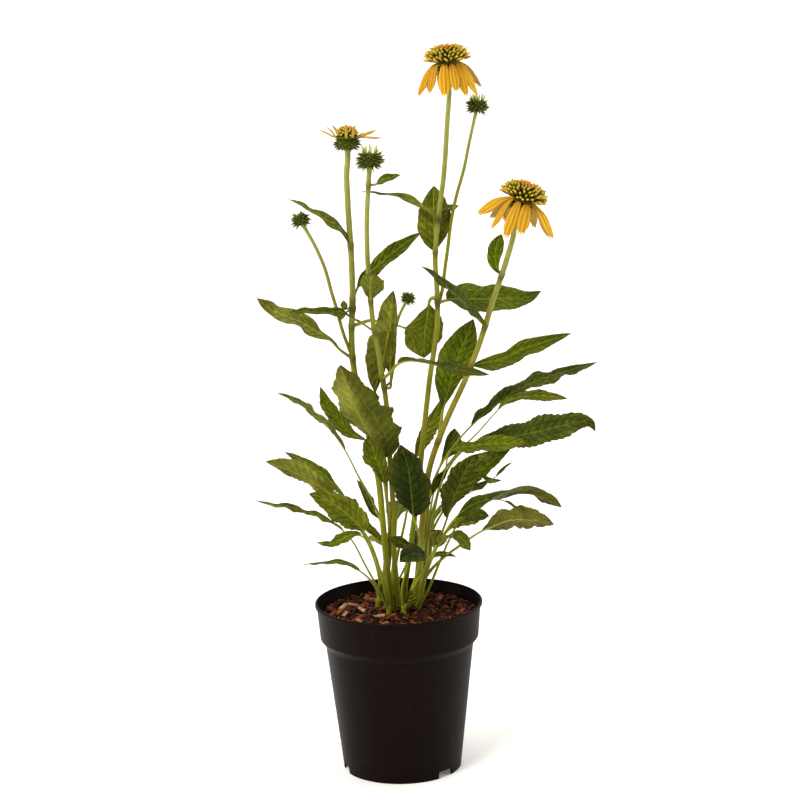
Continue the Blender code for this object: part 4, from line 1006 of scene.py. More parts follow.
def cup_centre(head):
    """The middle of the ball of bracts under a head's collar."""
    return head_point(head, 0, 0, -COLLAR_HEIGHT - 0.3 - head.cup_height * 0.6)


def buds_of(name):
    """The buds at a stem's top and at its branch's end, those that there are."""
    return [buds[name] for buds in (STEM_BUDS, BRANCH_BUDS) if name in buds]


def short_name(name):
    """What a stem's or crown's pieces are called after: its name without its first word."""
    return name.split("_", 1)[1]


def stem_path(name):
    """A stem's whole path, from inside the soil into its head or its bud."""
    stem = STEMS[name]
    x, y, _ = stem.path[0]
    points = [(x, y, ROOTED), (x, y, SOIL_LEVEL + STRAIGHT_FOOT)] + stem.path[1:]
    if name in HEADS:
        head = HEADS[name]
        points += [head_point(head, 0, 0, -STRAIGHT_NECK),
                   head_point(head, 0, 0, -COLLAR_HEIGHT)]
    else:
        points.append(STEM_BUDS[name].centre)
    return Path(points)


def stem_radius(stem, share):
    return stem.foot_radius + (stem.top_radius - stem.foot_radius) * share


def add_stem(skin, path, stem, nodes, neck):
    """A faintly ridged stem that swells and darkens at its leaf nodes, and swells at its neck
    under a head or a bud."""
    def radius(distance):
        size = stem_radius(stem, distance / path.length)
        for node in nodes:
            size += NODE_SWELL * math.exp(-((distance - node) / NODE_LENGTH) ** 2)
        return size + neck * math.exp(-((path.length - distance) / NECK_LENGTH) ** 2)

    def tint(distance):
        paint = blend(stem.paint, STEM_HIGH, (distance / path.length) ** 3)
        for node in nodes:
            shade = NODE_SHADE * math.exp(-((distance - node + 2) / 5) ** 2)
            paint = blend(paint, NODE_DARK, shade)
        return paint

    add_tube(skin, path, radius, tint, STEM_SIDES, STEM_STEP, ridge=STEM_RIDGE)


def make_stem(name, seed):
    """A stem's blades, and the stem with its branch, its buds' cores and its stalks."""
    path = stem_path(name)
    stalks = Skin()
    blades = Skin()
    leaves = []
    nodes = []
    for leaf in LEAVES[name]:
        root = Vector(leaf.spine[0])
        if not leaf.on_branch:
            root, node = path.nearest(root)
            nodes.append(node)
        leaves.append(replace(leaf, spine=[root] + leaf.spine[1:]))
    add_stem(stalks, path, STEMS[name], nodes, HEAD_NECK if name in HEADS else BUD_NECK)
    if name in BRANCHES:
        branch = BRANCHES[name]
        fork, _ = path.nearest(branch.path[0])
        side_path = Path([fork] + branch.path[1:] + [BRANCH_BUDS[name].centre])
        add_stem(stalks, side_path, branch, [], BRANCH_NECK)
    for bud in buds_of(name):
        add_dome(stalks, bud.centre, bud.axis, 0.88 * bud.radius, 0.82 * bud.radius, BUD_CORE,
                 lowest=-0.9)
    for number, leaf in enumerate(leaves):
        add_leaf(blades, stalks, leaf, seed * SEED_BLOCK + number, toothed=STEM_LEAF_TEETH)
    return blades, stalks


def make_rosette(name, seed):
    """One crown's basal leaves on the short stub that stands in the soil."""
    x, y = CROWNS[name]
    stalks = Skin()
    blades = Skin()
    stub = Path([(x, y, ROOTED), (x, y, CROWN_TOP - 2)])
    add_tube(stalks, stub, lambda distance: CROWN_RADIUS * (1 - 0.5 * distance / stub.length),
             lambda distance: STEM_LOW, STUB_SIDES, STUB_STEP, ridge=STUB_RIDGE, ridges=6)
    for number, leaf in enumerate(LEAVES[name]):
        rooted = replace(leaf, spine=[(x, y, STALK_ROOT)] + leaf.spine)
        add_leaf(blades, stalks, rooted, seed * SEED_BLOCK + number)
    return blades, stalks


def ray_outline(t):
    """Half width of a ray floret: narrow at its root, widest past the middle, blunt tip."""
    if t < 0.6:
        return 0.3 + 0.7 * math.sin(math.pi / 2 * t / 0.6)
    return 1 - 0.45 * ((t - 0.6) / 0.4) ** 2


def add_ray(skin, head, ray, seed):
    """A ray floret with two grooves along it and three blunt teeth at its tip. An old one
    turns its face to the front as it hangs, and a young one is narrow and faded."""
    draw = random.Random(seed)
    up = Vector(head.axis).normalized()
    path = Path([head_point(head, ray.azimuth, out, height) for out, height in ray.path])
    radial = head_point(head, ray.azimuth, 1, 0) - Vector(head.base)
    rows = max(12, round(path.length / RAY_ROW_STEP))
    twist = draw.uniform(-RAY_TWIST, RAY_TWIST)
    warm = draw.uniform(0, 1)
    gold = blend(*RAY_GOLDS, draw.uniform(0, 1))
    tops = []
    unders = []
    for row in range(rows + 1):
        t = row / rows
        half = (0.50 if head.young else 0.53) * ray.width * ray_outline(t)
        upper = []
        lower = []
        for column in range(-RAY_COLUMNS, RAY_COLUMNS + 1):
            s = column / RAY_COLUMNS
            notch = RAY_NOTCH * (0.5 - 0.5 * math.cos(3 * math.pi * (s + 1) + math.pi))
            reach = t * (1 - (notch + RAY_ROUND * s * s) * t ** 4)
            place, along = path.at(reach * path.length)
            side = along.cross(radial * 0.8 + up * 0.6).normalized()
            flat = along.cross(Vector((0, 1, 0))).normalized()
            flat = -flat if flat.dot(side) < 0 else flat
            side = side.lerp(flat, 0 if head.young else 0.5 * min(1, 2 * t)).normalized()
            normal = side.cross(along)
            side = (side + normal * twist * t).normalized()
            groove = RAY_GROOVE * math.cos(3 * math.pi * s) * min(1, half / 3)
            arch = -RAY_ARCH * half * s * s
            spot = place + side * (half * s) + normal * (groove + arch)
            streak = math.sqrt(0.5 + 0.5 * math.cos(3 * math.pi * s))
            # the top is darker along its furrows and edges: painted shade
            paint = blend(gold, RAY_FURROW_SHADE, 0.85 * (1 - streak))
            paint = blend(paint, RAY_WARM, 0.7 * warm * (1 - 0.6 * t))
            paint = blend(paint, FADED_RAY, 0.75 * head.young)
            thick = normal * RAY_HALF_THICKNESS
            mark = (0.5 + 0.5 * s, t)
            upper.append(skin.point(spot + thick, paint, mark))
            lower.append(skin.point(spot - thick, blend(*RAY_BACKS, streak), mark))
        tops.append(upper)
        unders.append(lower)
    skin.slab(tops, unders)


class Mixer:
    """Short ways to add the nodes of a material or of a Geometry Nodes tree."""

    def __init__(self, tree):
        self.tree = tree

    def node(self, kind, values=None, **settings):
        node = self.tree.nodes.new(kind)
        for name, value in settings.items():
            setattr(node, name, value)
        for name, value in (values or {}).items():
            self.feed(node.inputs[name], value)
        return node

    def feed(self, socket, value):
        if isinstance(value, bpy.types.NodeSocket):
            self.tree.links.new(value, socket)
        else:
            socket.default_value = value

    def math(self, operation, a, b=0.0, c=0.0):
        node = self.node("ShaderNodeMath", operation=operation)
        for socket, value in zip(node.inputs, (a, b, c)):
            self.feed(socket, value)
        return node.outputs[0]

    def away(self, value, middle):
        """How far a value is from its middle, to either side."""
        return self.math("ABSOLUTE", self.math("SUBTRACT", value, middle))

    def mix(self, share, a, b, blend_type="MIX"):
        node = self.node("ShaderNodeMix", data_type="RGBA", blend_type=blend_type)
        for number, value in ((0, share), (6, a), (7, b)):
            self.feed(node.inputs[number], value)
        return node.outputs[2]

    def shaded(self, colour, shade):
        """A colour made darker or lighter by a number."""
        grey = self.node("ShaderNodeCombineColor", {"Red": shade, "Green": shade, "Blue": shade})
        return self.mix(1.0, colour, grey.outputs[0], "MULTIPLY")

    def span(self, value, low, high, to_low=0.0, to_high=1.0):
        """A value between low and high, eased into the span from to_low to to_high."""
        node = self.node("ShaderNodeMapRange", {"Value": value, "From Min": low,
                                                "From Max": high, "To Min": to_low,
                                                "To Max": to_high},
                         interpolation_type="SMOOTHSTEP")
        return node.outputs[0]

    def fade(self, value, width):
        """1 where a value is 0, falling to 0 where it reaches a width."""
        return self.span(value, 0.0, width, 1.0, 0.0)

    def noise(self, scale, detail, vector=None, stretch=(1, 1, 1)):
        if vector is None:
            vector = self.node("ShaderNodeTexCoord").outputs["Object"]
        mapping = self.node("ShaderNodeMapping", {"Vector": vector, "Scale": stretch})
        node = self.node("ShaderNodeTexNoise", {"Vector": mapping.outputs[0], "Scale": scale,
                                                "Detail": detail})
        return node.outputs["Fac"]

    def mottle(self, scale, detail, low, high, dark, light):
        """A shade that wanders from dark to light, where the noise passes low and high."""
        return self.span(self.noise(scale, detail), low, high, dark, light)

    def tint(self):
        return self.node("ShaderNodeVertexColor", layer_name="tint").outputs[0]

    def marks(self):
        return self.node("ShaderNodeUVMap", uv_map="surface").outputs[0]

    def attribute(self, name):
        return self.node("ShaderNodeAttribute", attribute_name=name).outputs["Fac"]

    def split(self, vector):
        return self.node("ShaderNodeSeparateXYZ", {"Vector": vector}).outputs

    def combine(self, x, y, z=0.0):
        return self.node("ShaderNodeCombineXYZ", {"X": x, "Y": y, "Z": z}).outputs[0]

    def point_vector(self, name):
        """A vector that each point of a Geometry Nodes tree's mesh carries."""
        return self.node("GeometryNodeInputNamedAttribute", {"Name": name},
                         data_type="FLOAT_VECTOR").outputs[0]

    def store(self, geometry, name, value):
        """The geometry with a number stored on it by name."""
        node = self.node("GeometryNodeStoreNamedAttribute",
                         {"Geometry": geometry, "Name": name, "Value": value},
                         data_type="FLOAT")
        return node.outputs[0]

    def random_turn(self, seed, lean, spin=0.0):
        """Random angles: a lean either way about X and Y, and up to a spin about Z."""
        back = self.math("MULTIPLY", lean, -1.0)
        return self.node("FunctionNodeRandomValue", {
            "Seed": seed, "Min": self.combine(back, back), "Max": self.combine(lean, lean, spin)},
            data_type="FLOAT_VECTOR").outputs[0]

    def realized(self, geometry):
        return self.node("GeometryNodeRealizeInstances", {"Geometry": geometry}).outputs[0]

    def coated(self, geometry, material):
        return self.node("GeometryNodeSetMaterial", {"Geometry": geometry,
                                                     "Material": material}).outputs[0]


def finish_for(name, roughness, specular, glint=None):
    """A new material with its shader and a mixer for the rest of its nodes."""
    mat = bpy.data.materials.new(name)
    mat.use_nodes = True
    shader = mat.node_tree.nodes["Principled BSDF"]
    shader.inputs["Roughness"].default_value = roughness
    shader.inputs["Specular IOR Level"].default_value = specular
    if glint:
        shader.inputs["Specular Tint"].default_value = glint
    return mat, Mixer(mat.node_tree), shader


def bump(mix, shader, height, strength, distance):
    node = mix.node("ShaderNodeBump", {"Height": height, "Strength": strength,
                                       "Distance": distance})
    mix.feed(shader.inputs["Normal"], node.outputs[0])


def surface_marks(mix):
    """Across a blade from -1 to 1, along it in veins, and 1 on its underside."""
    marks = mix.split(mix.marks())
    under = mix.math("GREATER_THAN", marks[0], UNDERSIDE - 0.5)
    top = mix.math("MULTIPLY_ADD", under, -UNDERSIDE, marks[0])
    return mix.math("MULTIPLY_ADD", top, 2.0, -1.0), marks[1], under


def leaf_finish():
    """Leaf skin: mottled green with puffed panels between its veins. The veins are sunken, painted
    darker on top as painted shade, and stand out pale on the underside; the midrib is pale on both."""
    gloss = 0.46
    grain_shades = (0.82, 1.16)
    mat, mix, shader = finish_for("leaf_skin", gloss, 0.15, LEAF_GLINT)
    across, along, under = surface_marks(mix)
    edge = mix.math("ABSOLUTE", across)
    wander = mix.math("MULTIPLY_ADD", mix.noise(90, 2.0), 0.5, -0.25)
    slant = mix.math("ADD", mix.math("MULTIPLY_ADD", edge, -VEIN_SLANT, along), wander)
    panel = mix.away(mix.math("FRACT", slant), 0.5)
    side_veins = mix.math("MULTIPLY", mix.fade(panel, 0.09), 0.8)
    long_nerves = mix.fade(mix.away(edge, 0.42), 0.06)
    net = mix.math("MULTIPLY", mix.fade(mix.away(mix.noise(300, 1.0), 0.5), 0.035), 0.45)
    lines = mix.math("MAXIMUM", mix.math("MAXIMUM", side_veins, long_nerves), net)
    clouds = mix.mottle(30, 3.0, 0.3, 0.7, 0.66, 1.28)
    grain = mix.mottle(260, 4.0, 0.25, 0.75, *grain_shades)
    skin = mix.shaded(mix.tint(), mix.math("MULTIPLY", clouds, grain))
    skin = mix.mix(mix.mottle(14, 2.0, 0.56, 0.74, 0.0, 0.35), skin, WORN_SPOT)
    pale = mix.mix(mix.math("MULTIPLY_ADD", under, 0.32, 0.18), skin, PALE_VEIN)
    # veins: painted shade in their grooves on the upper side, pale on the underside
    vein_shade_and_pale = mix.mix(under, mix.shaded(skin, 0.62), pale)
    skin = mix.mix(mix.math("MULTIPLY", lines, 0.55), skin, vein_shade_and_pale)
    midrib = mix.span(edge, 0.02, 0.11, 1.0, 0.0)
    rib = mix.math("MULTIPLY", midrib, mix.math("MULTIPLY_ADD", under, 0.40, 0.46))
    mix.feed(shader.inputs["Base Color"], mix.mix(rib, skin, pale))
    mix.feed(shader.inputs["Roughness"],
             mix.span(grain, *grain_shades, gloss + 0.08, gloss - 0.08))
    puff = mix.math("MULTIPLY", mix.math("SINE", mix.math("MULTIPLY", panel, math.pi)), 0.9)
    relief = mix.math("MULTIPLY_ADD", under, 1.6, -0.8)
    height = mix.math("MULTIPLY_ADD", lines, relief, puff)
    height = mix.math("MULTIPLY_ADD", mix.noise(420, 3.0), 0.8, height)
    bump(mix, shader, height, 0.9, 0.0021)
    return mat


def stem_finish():
    """Stems and stalks: pale green, streaked along their length, with fine hairs' grain."""
    mat, mix, shader = finish_for("stem_skin", 0.5, 0.15, STEM_GLINT)
    streak = mix.noise(6, 3.0, mix.marks(), (9, 0.35, 1))
    skin = mix.shaded(mix.tint(), mix.span(streak, 0.3, 0.7, 0.74, 1.18))
    blush = mix.mottle(30, 2.0, 0.55, 0.75, 0.0, 0.4)
    mix.feed(shader.inputs["Base Color"], mix.mix(blush, skin, STEM_BLUSH))
    bump(mix, shader, mix.noise(900, 2.0), 0.3, 0.0004)
    return mat


def ray_finish():
    """Ray florets: golden yellow with fine darker veins along them."""
    mat, mix, shader = finish_for("ray_silk", 0.55, 0.15)
    streak = mix.noise(5, 4.0, mix.marks(), (16, 0.8, 1))
    tint = mix.tint()
    deep = mix.mix(1.0, tint, RAY_DEEP, "MULTIPLY")
    mix.feed(shader.inputs["Base Color"],
             mix.mix(mix.span(streak, 0.42, 0.68, 0.0, 0.8), tint, deep))
    bump(mix, shader, streak, 0.35, 0.0005)
    return mat


def spike_finish(name):
    """Florets, bracts and hairs: three colours from foot to tip, each spike a little apart."""
    foot, body, tip = [(*paint, 1) for paint in SPIKE_PAINTS[name]]
    mat, mix, shader = finish_for(name, 0.5, 0.12)
    along = mix.attribute("along")
    skin = mix.mix(mix.span(along, 0.10, 0.55), foot, body)
    skin = mix.mix(mix.span(along, 0.55, 0.95), skin, tip)
    warm = mix.math("MULTIPLY", mix.attribute("warm"), mix.span(along, 0.2, 0.8))
    skin = mix.mix(warm, skin, WARM_FLORET)
    mix.feed(shader.inputs["Base Color"],
             mix.shaded(skin, mix.mottle(420, 2.0, 0.3, 0.7, 0.8, 1.2)))
    bump(mix, shader, mix.noise(1500, 2.0), 0.25, 0.0003)
    return mat


def pot_finish():
    """Moulded black plastic: faint flow streaks, fine grain and a little dust."""
    mat, mix, shader = finish_for("pot_plastic", 0.48, 0.06, POT_GLINT)
    streak = mix.noise(9, 4.0, stretch=(1, 1, 0.12))
    base = mix.mix(mix.span(streak, 0.35, 0.65), *POT_BLACKS)
    film = mix.mottle(70, 6.0, 0.60, 0.85, 0.0, 0.05)
    specks = mix.mottle(310, 2.0, 0.78, 0.82, 0.0, 0.20)
    mix.feed(shader.inputs["Base Color"], mix.mix(mix.math("ADD", film, specks), base, DUST))
    mix.feed(shader.inputs["Roughness"], mix.span(streak, 0.3, 0.7, 0.44, 0.54))
    bump(mix, shader, mix.noise(750, 3.0), 0.12, 0.0003)
    return mat


def bark_finish():
    """Bark chips: red-brown to tan, each chip its own shade, with a fibrous grain."""
    mat, mix, shader = finish_for("bark", 0.85, 0.10)
    ramp = mix.node("ShaderNodeValToRGB", {"Fac": mix.attribute("shade")})
    stops = ramp.color_ramp.elements
    for place, _ in BARK_SHADES[1:-1]:
        stops.new(place)
    for stop, (place, colour) in zip(stops, BARK_SHADES):
        stop.position = place
        stop.color = colour
    grain = mix.noise(240, 5.0, stretch=(1, 0.3, 1))
    mix.feed(shader.inputs["Base Color"],
             mix.shaded(ramp.outputs[0], mix.span(grain, 0.25, 0.75, 0.5, 1.4)))
    bump(mix, shader, grain, 0.8, 0.0015)
    return mat


def floor_finish():
    """The studio floor: white with a faint glow, so that it is as pale as the photograph's."""
    mat, mix, shader = finish_for("studio_floor", 0.9, 0.1)
    shader.inputs["Emission Color"].default_value = (1, 1, 1, 1)
    shader.inputs["Emission Strength"].default_value = FLOOR_GLOW
    mix.feed(shader.inputs["Base Color"], mix.mix(mix.noise(0.8, 2.0), *FLOOR_WHITES))
    return mat


def tree_with(name, inputs):
    """An empty Geometry Nodes tree with named inputs, each (name, kind, value)."""
    tree = bpy.data.node_groups.new(name, "GeometryNodeTree")
    tree.interface.new_socket("Geometry", in_out="INPUT", socket_type="NodeSocketGeometry")
    tree.interface.new_socket("Geometry", in_out="OUTPUT", socket_type="NodeSocketGeometry")
    for label, kind, value in inputs:
        tree.interface.new_socket(label, in_out="INPUT",
                                  socket_type="NodeSocket" + kind).default_value = value
    tree.interface.new_socket("Material", in_out="INPUT", socket_type="NodeSocketMaterial")
    mix = Mixer(tree)
    return tree, mix, mix.node("NodeGroupInput").outputs, mix.node("NodeGroupOutput").inputs


def grow(name, points, tree, values, material):
    """Run a tree over a mesh and keep what it makes as a plain mesh object."""
    obj = add_object(name, points)
    modifier = obj.modifiers.new("grow", "NODES")
    modifier.node_group = tree
    sockets = {s.name: s.identifier for s in tree.interface.items_tree if s.in_out == "INPUT"}
    for label, value in {**values, "Material": material}.items():
        modifier[sockets[label]] = value
    settle(obj).shade_smooth()
    return obj


def spikes_tree():
    """A tapered, rounded spike on each point, leaning as its aim says, sized by its size."""
    tree, mix, given, made = tree_with("spikes", [
        ("Sides", "Int", 6), ("Tip share", "Float", 0.35), ("Belly", "Float", 0.3),
        ("Lean", "Float", 0.12), ("Seed", "Int", 1)])
    cone = mix.node("GeometryNodeMeshCone", {
        "Vertices": given["Sides"], "Side Segments": 4, "Fill Segments": 1,
        "Radius Top": given["Tip share"], "Radius Bottom": 0.6, "Depth": 1.0})
    x, y, rise = mix.split(mix.node("GeometryNodeInputPosition").outputs[0])
    belly = mix.math("SINE", mix.math("MULTIPLY", rise, math.pi))
    wide = mix.math("ADD", mix.math("MULTIPLY", belly, given["Belly"]), 1.0)
    shaped = mix.combine(mix.math("MULTIPLY", x, wide), mix.math("MULTIPLY", y, wide), rise)
    spike = mix.node("GeometryNodeSetPosition", {"Geometry": cone.outputs[0],
                                                 "Position": shaped})
    turn = mix.node("FunctionNodeAlignRotationToVector", {"Vector": mix.point_vector("aim")},
                    axis="Z")
    placed = mix.node("GeometryNodeInstanceOnPoints", {
        "Points": given["Geometry"], "Instance": mix.store(spike.outputs[0], "along", rise),
        "Rotation": turn.outputs[0], "Scale": mix.point_vector("size")})
    tilted = mix.node("GeometryNodeRotateInstances", {
        "Instances": placed.outputs[0],
        "Rotation": mix.random_turn(given["Seed"], given["Lean"])})
    mix.feed(made["Geometry"], mix.coated(mix.realized(tilted.outputs[0]), given["Material"]))
    return tree


def grow_spikes(name, rows, spikes, shape, material):
    """A piece of many spikes. Each row gives one spike's place, its aim, its size (wide, thick
    and long) and its warmth."""
    places, aims, sizes, warmths = zip(*rows)
    mesh = bpy.data.meshes.new(name)
    mesh.from_pydata([Vector(place) * MM for place in places], [], [])
    for label, vectors in (("aim", aims), ("size", [Vector(size) * MM for size in sizes])):
        layer = mesh.attributes.new(label, "FLOAT_VECTOR", "POINT")
        layer.data.foreach_set("vector", [part for vector in vectors for part in vector])
    mesh.attributes.new("warm", "FLOAT", "POINT").data.foreach_set("value", warmths)
    return grow(name, mesh, spikes, shape, material)


def chips_tree():
    """Rough chips scattered over a bed, turned and tilted at random."""
    tree, mix, given, made = tree_with("chips", [
        (label, "Int" if label == "Seed" else "Float", value)
        for label, value in zip(CHIP_INPUTS, CHIP_LAYERS["large_chips"][0])])
    shade_seed, turn_seed, size_seed = [mix.math("ADD", given["Seed"], more)
                                        for more in (5, 9, 13)]
    spots = mix.node("GeometryNodeDistributePointsOnFaces", {
        "Mesh": given["Geometry"], "Distance Min": given["Spacing"],
        "Density Max": given["Density"], "Seed": given["Seed"]}, distribute_method="POISSON")
    shade = mix.node("FunctionNodeRandomValue", {"Seed": shade_seed, 2: given["Darkest"],
                                                 3: given["Lightest"]}, data_type="FLOAT")
    chip = mix.node("GeometryNodeMeshCube", {
        "Vertices X": 5, "Vertices Y": 3, "Vertices Z": 2,
        "Size": mix.combine(given["Length"], given["Width"], given["Thickness"])})
    size = mix.node("FunctionNodeRandomValue", {"Seed": size_seed, "Min": CHIP_SCALES[0],
                                                "Max": CHIP_SCALES[1]},
                    data_type="FLOAT_VECTOR")
    laid = mix.node("GeometryNodeInstanceOnPoints", {
        "Points": mix.store(spots.outputs[0], "shade", shade.outputs[1]),
        "Instance": chip.outputs[0], "Scale": size.outputs[0],
        "Rotation": mix.random_turn(turn_seed, given["Tilt"], 2 * math.pi)})
    rough = mix.node("ShaderNodeTexNoise", {
        "Vector": mix.node("GeometryNodeInputPosition").outputs[0], "Scale": 260.0,
        "Detail": 2.0})
    push = mix.node("ShaderNodeVectorMath", {0: rough.outputs["Color"], 1: (0.5, 0.5, 0.5)},
                    operation="SUBTRACT")
    depth = mix.math("MULTIPLY", given["Thickness"], CHIP_ROUGHNESS)
    push = mix.node("ShaderNodeVectorMath", {0: push.outputs[0], "Scale": depth},
                    operation="SCALE")
    bent = mix.node("GeometryNodeSetPosition", {
        "Geometry": mix.realized(laid.outputs[0]), "Offset": push.outputs[0]})
    mix.feed(made["Geometry"], mix.coated(bent.outputs[0], given["Material"]))
    return tree


def turned(name, outline, steps):
    """A closed outline of (radius, height), turned round the Z axis."""
    mesh = bpy.data.meshes.new(name)
    edges = [(i, i + 1) for i in range(len(outline) - 1)]
    mesh.from_pydata([(r * MM, 0, z * MM) for r, z in outline], edges, [])
    obj = add_object(name, mesh)
    screw = obj.modifiers.new("turn", "SCREW")
    screw.steps = steps
    screw.render_steps = steps
    screw.use_merge_vertices = True
    screw.merge_threshold = SCREW_MERGE_GAP
    turn_outwards(settle(obj), merge=True)
    return obj


def arc(centre, radius, start, end, count):
    """Points of (radius, height) round part of a circle, angles in degrees."""
    angles = [math.radians(start + (end - start) * i / (count - 1)) for i in range(count)]
    return [(centre[0] + radius * math.cos(a), centre[1] + radius * math.sin(a))
            for a in angles]


def lip_point(inward, down):
    """A point of the rim, by how far it lies in and down from the rim's outer top edge."""
    return RIM_RADIUS - inward, POT_HEIGHT - down


def pot_outline():
    """The pot's wall from the middle of its floor, up inside, over the lip and down."""
    inner_floor = FLOOR_LIFT + WALL
    inside = [(0, WALL), (DISC_RADIUS - WALL, WALL), (DISC_RADIUS - WALL / 2, inner_floor),
              (BASE_RADIUS - WALL + 1.2, inner_floor), (BODY_TOP_RADIUS - WALL, SHOULDER),
              INNER_FOOT, INNER_TOP]
    lip = [lip_point(WALL + 0.4, 1.2)]
    lip += arc(lip_point(1.25, 1.0), 1.0, 150, 60, 4)
    lip += arc(lip_point(0.9, 1.3), 0.9, 60, 0, 4)
    lip += [lip_point(0, 2.9)]
    lip += arc(lip_point(0.6, 3.2), 0.6, 0, -60, 3)
    band = [(BAND_TOP_RADIUS, POT_HEIGHT - 4.8), (BAND_FOOT_RADIUS, BAND_FOOT)]
    under = arc((BAND_FOOT_RADIUS - 3.0, BAND_FOOT - 0.6), 3.0, -8, -62, 5)
    neck = [(BODY_TOP_RADIUS + 0.35, SHOULDER + 0.4), (BODY_TOP_RADIUS, SHOULDER - 0.8)]
    foot = [(BASE_RADIUS + 0.1, 0.6), (BASE_RADIUS - 0.5, 0), (BASE_RADIUS - WALL, 0),
            (BASE_RADIUS - WALL, FLOOR_LIFT), (DISC_RADIUS + 1, FLOOR_LIFT), (DISC_RADIUS, 0),
            (0, 0)]
    return inside + lip + band + under + neck + foot


def add_cutter(bm, cutters):
    mesh = bpy.data.meshes.new("cutter")
    bm.to_mesh(mesh)
    bm.free()
    cutters.objects.link(bpy.data.objects.new("cutter", mesh))


def add_notch_cutter(angle, cutters):
    """A box through the pot's skirt at an angle, half of it below the ground."""
    bm = bmesh.new()
    bmesh.ops.create_cube(bm, size=1)
    bmesh.ops.scale(bm, verts=bm.verts,
                    vec=(NOTCH_WIDTH * MM, NOTCH_DEPTH * MM, 2 * NOTCH_HEIGHT * MM))
    bmesh.ops.translate(bm, verts=bm.verts, vec=(0, -BASE_RADIUS * MM, 0))
    bmesh.ops.rotate(bm, verts=bm.verts, cent=(0, 0, 0),
                     matrix=Matrix.Rotation(math.radians(angle), 3, "Z"))
    add_cutter(bm, cutters)


def add_drain_cutter(turn, cutters):
    """A peg through the raised floor, midway between its disc and the skirt."""
    reach = (DISC_RADIUS + BASE_RADIUS) / 2 * MM
    bm = bmesh.new()
    bmesh.ops.create_cone(bm, segments=DRAIN_SIDES, radius1=DRAIN_RADIUS * MM,
                          radius2=DRAIN_RADIUS * MM, depth=DRAIN_DEPTH * MM, cap_ends=True)
    bmesh.ops.translate(bm, verts=bm.verts, vec=(
        reach * math.cos(turn), reach * math.sin(turn), (FLOOR_LIFT + WALL / 2) * MM))
    add_cutter(bm, cutters)


def make_pot(material):
    """The pot's wall, with three notches in its skirt and holes in its floor."""
    pot = turned("nursery_pot", pot_outline(), POT_STEPS)
    cutters = bpy.data.collections.new("pot cutters")
    bpy.context.scene.collection.children.link(cutters)
    for angle in NOTCH_ANGLES:
        add_notch_cutter(angle, cutters)
    for number in range(DRAIN_HOLES):
        add_drain_cutter(2 * math.pi * (number + 0.5) / DRAIN_HOLES, cutters)
    cut = pot.modifiers.new("cut", "BOOLEAN")
    cut.operation = "DIFFERENCE"
    cut.operand_type = "COLLECTION"
    cut.collection = cutters
    turn_outwards(settle(pot), merge=True)
    for cutter in list(cutters.objects):
        bpy.data.objects.remove(cutter, do_unlink=True)
    bpy.data.collections.remove(cutters)
    pot.data.shade_smooth()
    pot.data.set_sharp_from_angle(angle=math.radians(SHARP_ANGLE))
    pot.data.materials.append(material)
    return pot


def soil_edge():
    """The radius of the pot's inner wall at the soil's surface, less a little play."""
    share = (SOIL_LEVEL - INNER_FOOT[1]) / (INNER_TOP[1] - INNER_FOOT[1])
    return INNER_FOOT[0] + (INNER_TOP[0] - INNER_FOOT[0]) * share - 0.4


def make_soil(material):
    """The bed of fine bark: a lumpy top on a plain body that fills the pot."""
    draw = random.Random(SOIL_SEED)
    edge = soil_edge()
    across = Vector((1, 0, 0)), Vector((0, 1, 0))
    skin = Skin()
    rings = []
    for row in range(SOIL_RINGS + 1):
        out = edge * row / SOIL_RINGS
        ring = []
        for k in range(SOIL_SIDES):
            turn = 2 * math.pi * k / SOIL_SIDES
            lump = SOIL_LUMP * math.sin(3 * turn + out / 9) * math.sin(out / 13 + 1)
            lump += draw.uniform(-SOIL_GRIT, SOIL_GRIT)
            height = SOIL_LEVEL - SOIL_DROP + lump * math.sin(math.pi * row / SOIL_RINGS)
            ring.append(skin.point(about(*across, turn) * out + Vector((0, 0, height)),
                                   (0, 0, 0)))
        rings.append(ring)
    for radius, height in ((edge, SOIL_LEVEL - 8), (edge - 1.5, BAND_FOOT),
                           (BODY_TOP_RADIUS - WALL - 0.5, SHOULDER), (BASE_RADIUS, 11),
                           (30, 10.2)):
        rings.append(skin.circle(Vector((0, 0, height)), *across, radius, SOIL_SIDES))
    skin.tube(rings, ends=(-1,))
    soil = skin.finish("bark_bed", material)
    turn_outwards(soil.data, merge=True)
    return soil


def chip_bed(name, height, inner, outer, start, end):
    """A flat ring, or a part of one between two angles, for chips to lie on."""
    points = []
    for k in range(CHIP_BED_STEPS + 1):
        turn = math.radians(start + (end - start) * k / CHIP_BED_STEPS)
        points += [(out * MM * math.cos(turn), out * MM * math.sin(turn),
                    (SOIL_LEVEL + height) * MM) for out in (inner, outer)]
    mesh = bpy.data.meshes.new(name)
    mesh.from_pydata(points, [], [(k, k + 1, k + 3, k + 2)
                                  for k in range(0, 2 * CHIP_BED_STEPS, 2)])
    return mesh


def make_hairs(name, spikes, material):
    """Short stiff hairs that stand out all round a stem."""
    draw = random.Random(name + " hairs")
    path = stem_path(name)
    rows = []
    for _ in range(HAIRS):
        distance = draw.uniform(*HAIRY_PART) * path.length
        place, along = path.at(distance)
        _, side, front = frame_of(along)
        out = about(side, front, draw.uniform(0, 2 * math.pi))
        root = place + out * (stem_radius(STEMS[name], distance / path.length) - HAIR_SINK)
        aim = out + along * draw.uniform(-0.2, 0.5)
        rows.append((root, aim, (HAIR_THICKNESS, HAIR_THICKNESS, draw.uniform(*HAIR_LENGTHS)),
                     0.0))
    return grow_spikes("hairs_" + short_name(name), rows, spikes, HAIR_SPIKES, material)


